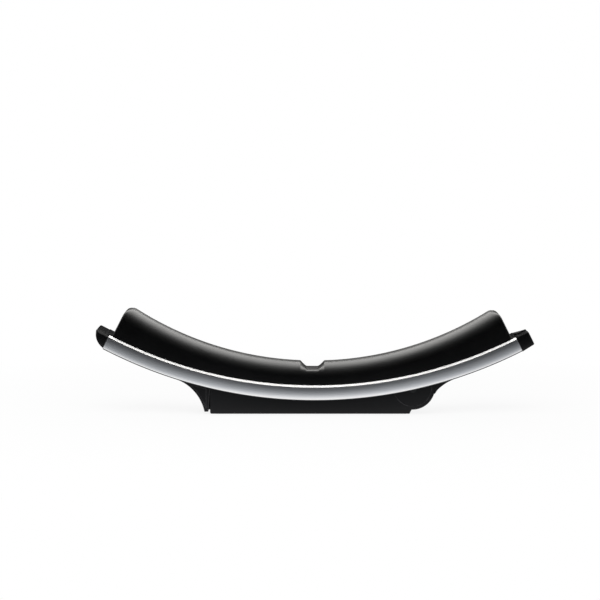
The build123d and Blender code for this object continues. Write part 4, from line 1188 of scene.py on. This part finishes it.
@dataclass
class FittedPiece:
    """Moulded piece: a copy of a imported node, drawn closer to the real outline."""

    nodes: dict[str, bpy.types.Object]
    rail: SaddleRail
    node: str
    body: Body
    finish: Finish = NYLON_FINISH
    sharp_degrees: float = 30.0

    def cut_loops(self, work: bmesh.types.BMesh) -> None:
        """Add the edge loops that the fit needs; most pieces need none."""

    def fitted(self, point: Vector) -> Vector:
        """Give the place of a packed point after the fit; a plain copy keeps it."""
        return point

    def build(self) -> bpy.types.Object:
        """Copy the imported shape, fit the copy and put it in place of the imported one.

        Returns:
            The piece.
        """
        work = bmesh.new()
        work.from_mesh(self.nodes[self.node].data)
        bmesh.ops.remove_doubles(work, verts=work.verts, dist=MERGE_DISTANCE)
        self.cut_loops(work)
        for vertex in work.verts:
            vertex.co = self.fitted(vertex.co.copy())
        bmesh.ops.recalc_face_normals(work, faces=work.faces)
        mesh = kept_mesh(self.node + "_fitted", work)
        normals = mesh.attributes.get("custom_normal")
        if normals is not None:
            mesh.attributes.remove(normals)
        mesh.materials.clear()
        mesh.materials.append(self.finish.material())
        smooth_mesh(mesh, self.sharp_degrees)
        piece = link_object(self.node + "_fitted", mesh)
        weigh_normals(piece)
        place_piece(piece, self.body, self.finish, self.node)
        return piece


@dataclass
class EndCap(FittedPiece):
    """Cap in one end of the rail, with a lip that runs out on the rail's top."""

    body: Body = Body.SADDLE
    side: int = 1
    lip_start: float = 0.35 * MM
    lip_share: float = 0.1

    def __post_init__(self) -> None:
        """Set up the axes of the rail's end."""
        self.frame = EndFrame(self.rail, self.side)

    def flattened(self, high: float) -> float:
        """Give a height after the lip is flattened; what lies below the lip keeps its own."""
        return min(high, self.lip_start + (high - self.lip_start) * self.lip_share)


@dataclass
class NoseCap(EndCap):
    """Left end cap, with a rounded tip."""

    node: str = "nose_cap"
    side: int = -1
    length: float = 26.5 * MM
    tip_round: float = 4.2 * MM
    tip_depth: float = 8.5 * MM
    loops: int = 7

    def cut_loops(self, work: bmesh.types.BMesh) -> None:
        """Cut loops across the tip, so that it can be rounded.

        Args:
            work: The piece's mesh.
        """
        for index in range(self.loops):
            back = self.tip_round * (1 - math.sin(math.pi / 2 * index / self.loops))
            point = self.frame.place(self.length - back, 0.0, 0.0)
            whole = [*work.verts, *work.edges, *work.faces]
            bmesh.ops.bisect_plane(work, geom=whole, plane_co=point, plane_no=self.frame.out)

    def fitted(self, point: Vector) -> Vector:
        """Round the tip and flatten the lip.

        Args:
            point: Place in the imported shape.

        Returns:
            Place in the fitted one.
        """
        along, high = self.frame.local(point)
        high = self.flattened(high)
        past = min(max(along - self.length + self.tip_round, 0.0), self.tip_round)
        drop = self.tip_round - math.sqrt(self.tip_round ** 2 - past ** 2)
        high -= drop * ramp(high, -self.tip_depth, 0.0)
        return self.frame.place(along, point.y, high)


@dataclass
class StrapCap(EndCap):
    """Right end cap: a block that stands past the rail's lower edge and falls towards its far side.

    Each pair of places is where a change starts and where it is whole.
    """

    node: str = "strap_cap"
    longer: float = 2.7 * MM
    longer_along: tuple[float, float] = (8 * MM, 18 * MM)
    deeper: float = 2.4 * MM
    deeper_down: tuple[float, float] = (10 * MM, 20 * MM)
    deeper_along: tuple[float, float] = (-0.1 * MM, 0.0)
    far_fall: float = 5.0 * MM
    fall_across: tuple[float, float] = (8 * MM, 38 * MM)
    fall_up: tuple[float, float] = (-14 * MM, 0.0)
    fall_along: tuple[float, float] = (0.0, 3 * MM)
    lip_longer: float = 2.6 * MM
    lip_inwards: tuple[float, float] = (1 * MM, 4 * MM)

    def fitted(self, point: Vector) -> Vector:
        """Lengthen and deepen the block, and let its top fall away from the camera.

        Args:
            point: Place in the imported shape.

        Returns:
            Place in the fitted one.
        """
        along, high = self.frame.local(point)
        high = self.flattened(high)
        if high > 0.0:
            along -= self.lip_longer * ramp(-along, *self.lip_inwards)
        fall = ramp(point.y, *self.fall_across) * ramp(high, *self.fall_up) * ramp(along, *self.fall_along)
        depth = ramp(-high, *self.deeper_down) * ramp(along, *self.deeper_along)
        high -= self.far_fall * fall + self.deeper * depth
        along += self.longer * ramp(along, *self.longer_along)
        return self.frame.place(along, point.y, high)


@dataclass
class SupportLeg(FittedPiece):
    """Curved leg under the rail's left half, moved along the rail."""

    node: str = "support_leg"
    body: Body = Body.SADDLE
    shift: float = 5.5 * MM
    lower: float = 1.5 * MM
    hidden: float = 7 * MM
    toe_reach: float = 45 * MM

    def fitted(self, point: Vector) -> Vector:
        """Move what shows of the leg along the rail, and its toe a little down.

        Args:
            point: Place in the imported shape.

        Returns:
            Place in the fitted one.
        """
        reach = math.hypot(point.x, self.rail.arc_height - point.z)
        lip = self.rail.arc_radius + self.rail.height
        shown = ramp(reach, lip - self.hidden, lip)
        slope = -point.x / (self.rail.arc_height - point.z)
        toe = ramp(reach, lip, lip + self.toe_reach)
        rise = self.shift * slope * (1 - toe) - self.lower * toe
        return point + Vector((-self.shift, 0.0, rise)) * shown


@dataclass
class HingePiece(FittedPiece):
    """Piece with a round face about the hinge."""

    hinge: tuple[float, float] = (180 * MM, 47.5 * MM)

    def spoke(self, point: Vector) -> Vector:
        """Give the way from the hinge's axis to a point."""
        return Vector((point.x - self.hinge[0], 0.0, point.z - self.hinge[1]))


@dataclass
class BaseHousing(HingePiece):
    """Moulded base, drawn out at its left end, at its rim and round its knuckle."""

    node: str = "base_housing"
    body: Body = Body.BASE
    end: float = -176 * MM
    end_run: float = 3 * MM
    longer: float = 5.5 * MM
    rim_top: float = 7 * MM
    rim_foot: float = 2 * MM
    lower: float = RIM_LOWER
    knuckle: float = 39.4 * MM
    knuckle_run: float = 3 * MM
    knuckle_left: float = 2 * MM
    knuckle_play: float = 0.5 * MM
    wider: float = 2.0 * MM

    def fitted(self, point: Vector) -> Vector:
        """Draw out the left end, the rim and the knuckle.

        Args:
            point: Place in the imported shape.

        Returns:
            Place in the fitted one.
        """
        moved = Vector((-self.longer * ramp(point.x, self.end + self.end_run, self.end), 0.0, 0.0))
        moved.z -= self.lower * ramp(point.z, self.rim_top, self.rim_foot)
        spoke = self.spoke(point)
        if spoke.x > -self.knuckle_left and spoke.length < self.knuckle + self.knuckle_play:
            share = ramp(spoke.length, self.knuckle - self.knuckle_run, self.knuckle)
            moved += spoke.normalized() * self.wider * share
        return point + moved


@dataclass
class HingeGuard(HingePiece):
    """Curved fillet beside the knuckle, hollowed to clear it."""

    node: str = "hinge_guard"
    body: Body = Body.SADDLE
    hollow: float = 41 * MM
    hollow_near: float = 1 * MM
    hollow_far: float = 5 * MM
    wider: float = 1.2 * MM

    def fitted(self, point: Vector) -> Vector:
        """Draw the hollow away from the knuckle.

        Args:
            point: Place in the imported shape.

        Returns:
            Place in the fitted one.
        """
        spoke = self.spoke(point)
        share = ramp(spoke.length, self.hollow + self.hollow_far, self.hollow + self.hollow_near)
        return point + spoke.normalized() * self.wider * share


@dataclass
class RubberSole(FittedPiece):
    """Rubber under the base, lowered with its rim."""

    node: str = "rubber_sole"
    body: Body = Body.BASE
    finish: Finish = SOLE_FINISH
    lower: float = RIM_LOWER

    def fitted(self, point: Vector) -> Vector:
        """Lower a point with the rim."""
        return point - Vector((0.0, 0.0, self.lower))


@dataclass
class PackedPieces:
    """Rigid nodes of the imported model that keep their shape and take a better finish."""

    nodes: dict[str, bpy.types.Object]
    finishes: dict[str, Finish] = field(default_factory=lambda: {
        "rest_buffer": SOLE_FINISH, "hinge_bracket": CASTING_FINISH, "prop_arm": CASTING_FINISH,
        "front_hinge_bush": BUSH_FINISH, "rear_hinge_bush": BUSH_FINISH, "leg_screws": STEEL_FINISH,
        "guard_screws": STEEL_FINISH, "bracket_screws": STEEL_FINISH, "prop_bracket": STEEL_FINISH,
        "prop_rivets": STEEL_FINISH, "prop_pin": STEEL_FINISH, "prop_foot_rod": STEEL_FINISH,
        "floor_plate": STEEL_FINISH, "prop_rack": CASTING_FINISH, "rack_screws": STEEL_FINISH,
        "hinge_pin": BLACKED_FINISH, "pin_retainer": BLACKED_FINISH})

    def dress(self) -> None:
        """Give every listed node its finish."""
        for name, finish in self.finishes.items():
            for held in self.nodes[name].material_slots:
                held.material = finish.material()
            LOG.info("%s wears %s", name, finish.name)


@dataclass
class Studio:
    """Pale floor, soft light, flags that keep dark lines in the metal, and the camera."""

    rail: SaddleRail
    aim: Vector = field(default_factory=lambda: Vector((-27 * MM, 0.0, 206.4 * MM)))
    distance: float = 3.9
    azimuth: float = math.radians(0.0)
    elevation: float = math.radians(5.6)
    view_width: float = 1.1064
    sensor: float = 36.0
    floor_radius: float = 8.0
    floor_gap: float = 0.4 * MM
    floor_near: float = 0.35
    floor_far: float = 0.95
    floor_grey: float = 0.94
    floor_steps: int = 96
    ambient: float = 0.50
    shadow_share: float = 0.12
    flag_tint: Colour = (0.95, 0.985, 1.03)
    flag_dark: float = 0.006
    flag_light: float = 0.98
    flag_away: float = 0.07
    flag_below: float = 0.078
    flag_fall: tuple[float, float, float] = (0.20, 0.40, 0.55)
    front_above: float = 0.18
    rear_above: float = 0.105
    rear_lead: float = 20 * MM
    flag_turn: float = math.radians(42.0)
    flag_steps: int = 24
    sheen_size: tuple[float, float] = (2.8, 1.80)
    sheen_place: tuple[float, float, float] = (0.0, 0.60, 1.25)
    sheen_radiance: float = 2.85
    sheen_tint: Colour = (1.0, 0.985, 0.955)
    fill_size: tuple[float, float] = (2.4, 2.0)
    fill_place: tuple[float, float, float] = (-0.3, -1.4, 2.2)
    fill_radiance: float = 2.8
    panel_aim: float = 0.1

    @property
    def flag_reach(self) -> float:
        """Distance from the arc's centre to the flags' lower edge."""
        return self.rail.arc_radius + self.rail.height + self.flag_below

    def build_camera(self) -> None:
        """Set the camera at the viewing angle, with no shift."""
        back = Vector((math.sin(self.azimuth) * math.cos(self.elevation),
                       -math.cos(self.azimuth) * math.cos(self.elevation), math.sin(self.elevation)))
        data = bpy.data.cameras.new("camera")
        data.sensor_width = self.sensor
        data.lens = self.sensor * self.distance / self.view_width
        camera = link_object("camera", data)
        camera.location = self.aim + back * self.distance
        camera.rotation_mode = "QUATERNION"
        camera.rotation_quaternion = (-back).to_track_quat("-Z", "Y")
        bpy.context.scene.camera = camera

    def build_world(self) -> None:
        """White to the camera and in reflections, and a plain level of light on the object."""
        world = bpy.data.worlds.new("studio")
        world.use_nodes = True
        bpy.context.scene.world = world
        graph = Graph(world.node_tree)
        path = graph.add("ShaderNodeLightPath").outputs
        plain = graph.add("ShaderNodeBackground", {"Color": WHITE, "Strength": self.ambient}).outputs[0]
        shown = graph.add("ShaderNodeBackground", {"Color": WHITE, "Strength": 1.0}).outputs[0]
        seen = graph.math("MAXIMUM", path["Is Camera Ray"], path["Is Glossy Ray"])
        seen = graph.math("MAXIMUM", seen, path["Is Transmission Ray"])
        graph.add("ShaderNodeOutputWorld", {"Surface": graph.shader_mix(seen, plain, shown)})

    def floor_material(self) -> bpy.types.Material:
        """Pale floor that keeps the object's shadow, fades to plain white and is clear from below.

        Returns:
            The material.
        """
        material = bpy.data.materials.new("floor")
        material.use_nodes = True
        graph = Graph(material.node_tree)
        path = graph.add("ShaderNodeLightPath").outputs
        place = graph.add("ShaderNodeTexCoord").outputs["Object"]
        reach = graph.vector_math("LENGTH", place)["Value"]
        whitened = graph.remap(reach, self.floor_near, self.floor_far, to_low=1.0 - self.shadow_share)
        grey = (self.floor_grey, self.floor_grey, self.floor_grey, 1.0)
        matt = graph.add("ShaderNodeBsdfDiffuse", {"Color": grey}).outputs[0]
        white = graph.add("ShaderNodeEmission", {"Color": WHITE, "Strength": 1.0}).outputs[0]
        shown = graph.shader_mix(whitened, matt, white)
        seen = graph.math("MAXIMUM", path["Is Camera Ray"], path["Is Glossy Ray"])
        clear = graph.add("ShaderNodeBsdfTransparent").outputs[0]
        underside = graph.add("ShaderNodeNewGeometry").outputs["Backfacing"]
        below = graph.math("MULTIPLY", underside, path["Is Camera Ray"])
        surface = graph.shader_mix(below, graph.shader_mix(seen, matt, shown), clear)
        graph.add("ShaderNodeOutputMaterial", {"Surface": surface})
        return material

    def build_floor(self) -> None:
        """Lay a large round floor just under the rubber sole."""
        work = bmesh.new()
        level = Matrix.Translation((0.0, 0.0, -RIM_LOWER - self.floor_gap))
        bmesh.ops.create_circle(work, cap_ends=True, cap_tris=True, segments=self.floor_steps,
                                radius=self.floor_radius, matrix=level)
        mesh = kept_mesh("floor", work)
        mesh.materials.append(self.floor_material())
        link_object("floor", mesh)

    def flag_material(self, name: str, start: float) -> bpy.types.Material:
        """Dark cloth of a flag, which pales down to its lower edge.

        Args:
            name: Name of the material.
            start: Distance from the arc's centre at which it starts to pale.

        Returns:
            The material.
        """
        material = bpy.data.materials.new(name)
        material.use_nodes = True
        graph = Graph(material.node_tree)
        place = graph.add("ShaderNodeTexCoord").outputs["Object"]
        centre = (0.0, 0.0, self.rail.arc_height)
        flat = graph.vector_math("MULTIPLY", place, (1.0, 0.0, 1.0))["Vector"]
        reach = graph.vector_math("DISTANCE", flat, centre)["Value"]
        tone = graph.remap(reach, start, self.flag_reach, self.flag_dark, self.flag_light)
        aside = graph.math("ABSOLUTE", graph.add("ShaderNodeSeparateXYZ", {0: place}).outputs["X"])
        inner, outer, least = self.flag_fall
        tone = graph.math("MULTIPLY", tone, graph.remap(aside, inner, outer, 1.0, least))
        cloth = graph.add("ShaderNodeEmission", {"Color": (*self.flag_tint, 1.0), "Strength": tone})
        graph.add("ShaderNodeOutputMaterial", {"Surface": cloth.outputs[0]})
        return material

    def build_flags(self) -> None:
        """Stand a curved flag before and behind the saddle, seen only in reflections."""
        centre = Vector((0.0, self.rail.arc_height))
        down = -math.pi / 2
        stretch = (down - self.flag_turn, down + self.flag_turn, self.flag_steps)
        lower = arc_points(centre, self.flag_reach, *stretch)
        sides = (("front_flag", -self.flag_away, self.front_above, 0.0),
                 ("rear_flag", self.flag_away, self.rear_above, self.rear_lead))
        for name, y, above, lead in sides:
            upper = arc_points(centre, self.rail.arc_radius - above, *stretch)
            work = bmesh.new()
            rows = [[work.verts.new((point.x, y, point.y)) for point in row] for row in (lower, upper)]
            for index in range(self.flag_steps):
                work.faces.new((rows[0][index], rows[0][index + 1], rows[1][index + 1], rows[1][index]))
            mesh = kept_mesh(name, work)
            mesh.materials.append(self.flag_material(name, self.rail.arc_radius - lead))
            flag = link_object(name, mesh)
            flag.visible_camera = False
            flag.visible_diffuse = False
            flag.visible_transmission = False
            flag.visible_shadow = False

    def add_panel(self, name: str, size: tuple[float, float], place: tuple[float, float, float],
                  radiance: float) -> bpy.types.Object:
        """Hang a rectangular light that faces the saddle.

        Args:
            name: Name of the light.
            size: Its width and height.
            place: Where its middle is.
            radiance: Brightness of its face.

        Returns:
            The light's object.
        """
        data = bpy.data.lights.new(name, "AREA")
        data.shape = "RECTANGLE"
        data.size, data.size_y = size
        data.energy = radiance * math.pi * size[0] * size[1]
        panel = link_object(name, data)
        panel.location = place
        panel.rotation_mode = "QUATERNION"
        aim = Vector((place[0], 0.0, self.panel_aim))
        panel.rotation_quaternion = (aim - Vector(place)).to_track_quat("-Z", "Y")
        return panel

    def build_lights(self) -> None:
        """Hang the overhead panel that the surfaces mirror, and the soft light that falls on them."""
        sheen = self.add_panel("overhead_panel", self.sheen_size, self.sheen_place, self.sheen_radiance)
        sheen.visible_diffuse = False
        sheen.data.color = self.sheen_tint
        fill = self.add_panel("soft_light", self.fill_size, self.fill_place, self.fill_radiance)
        fill.visible_glossy = False

    def build(self) -> None:
        """Build the whole set."""
        self.build_camera()
        self.build_world()
        self.build_floor()
        self.build_flags()
        self.build_lights()
        bpy.context.scene.view_settings.view_transform = "Standard"
        LOG.info("studio is set")


def main() -> None:
    """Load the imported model, build and dress its pieces and set the studio."""
    logging.basicConfig(level=logging.INFO, format="%(name)s: %(message)s")
    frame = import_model()
    rail = SaddleRail()
    rail.build()
    HullPad(rail).build()
    SocketScrews(rail).build()
    for fitted in (NoseCap, StrapCap, SupportLeg, HingeGuard, BaseHousing, RubberSole):
        fitted(frame["nodes"], rail).build()
    PackedPieces(frame["nodes"]).dress()
    Studio(rail).build()


if __name__ == "__main__":
    main()
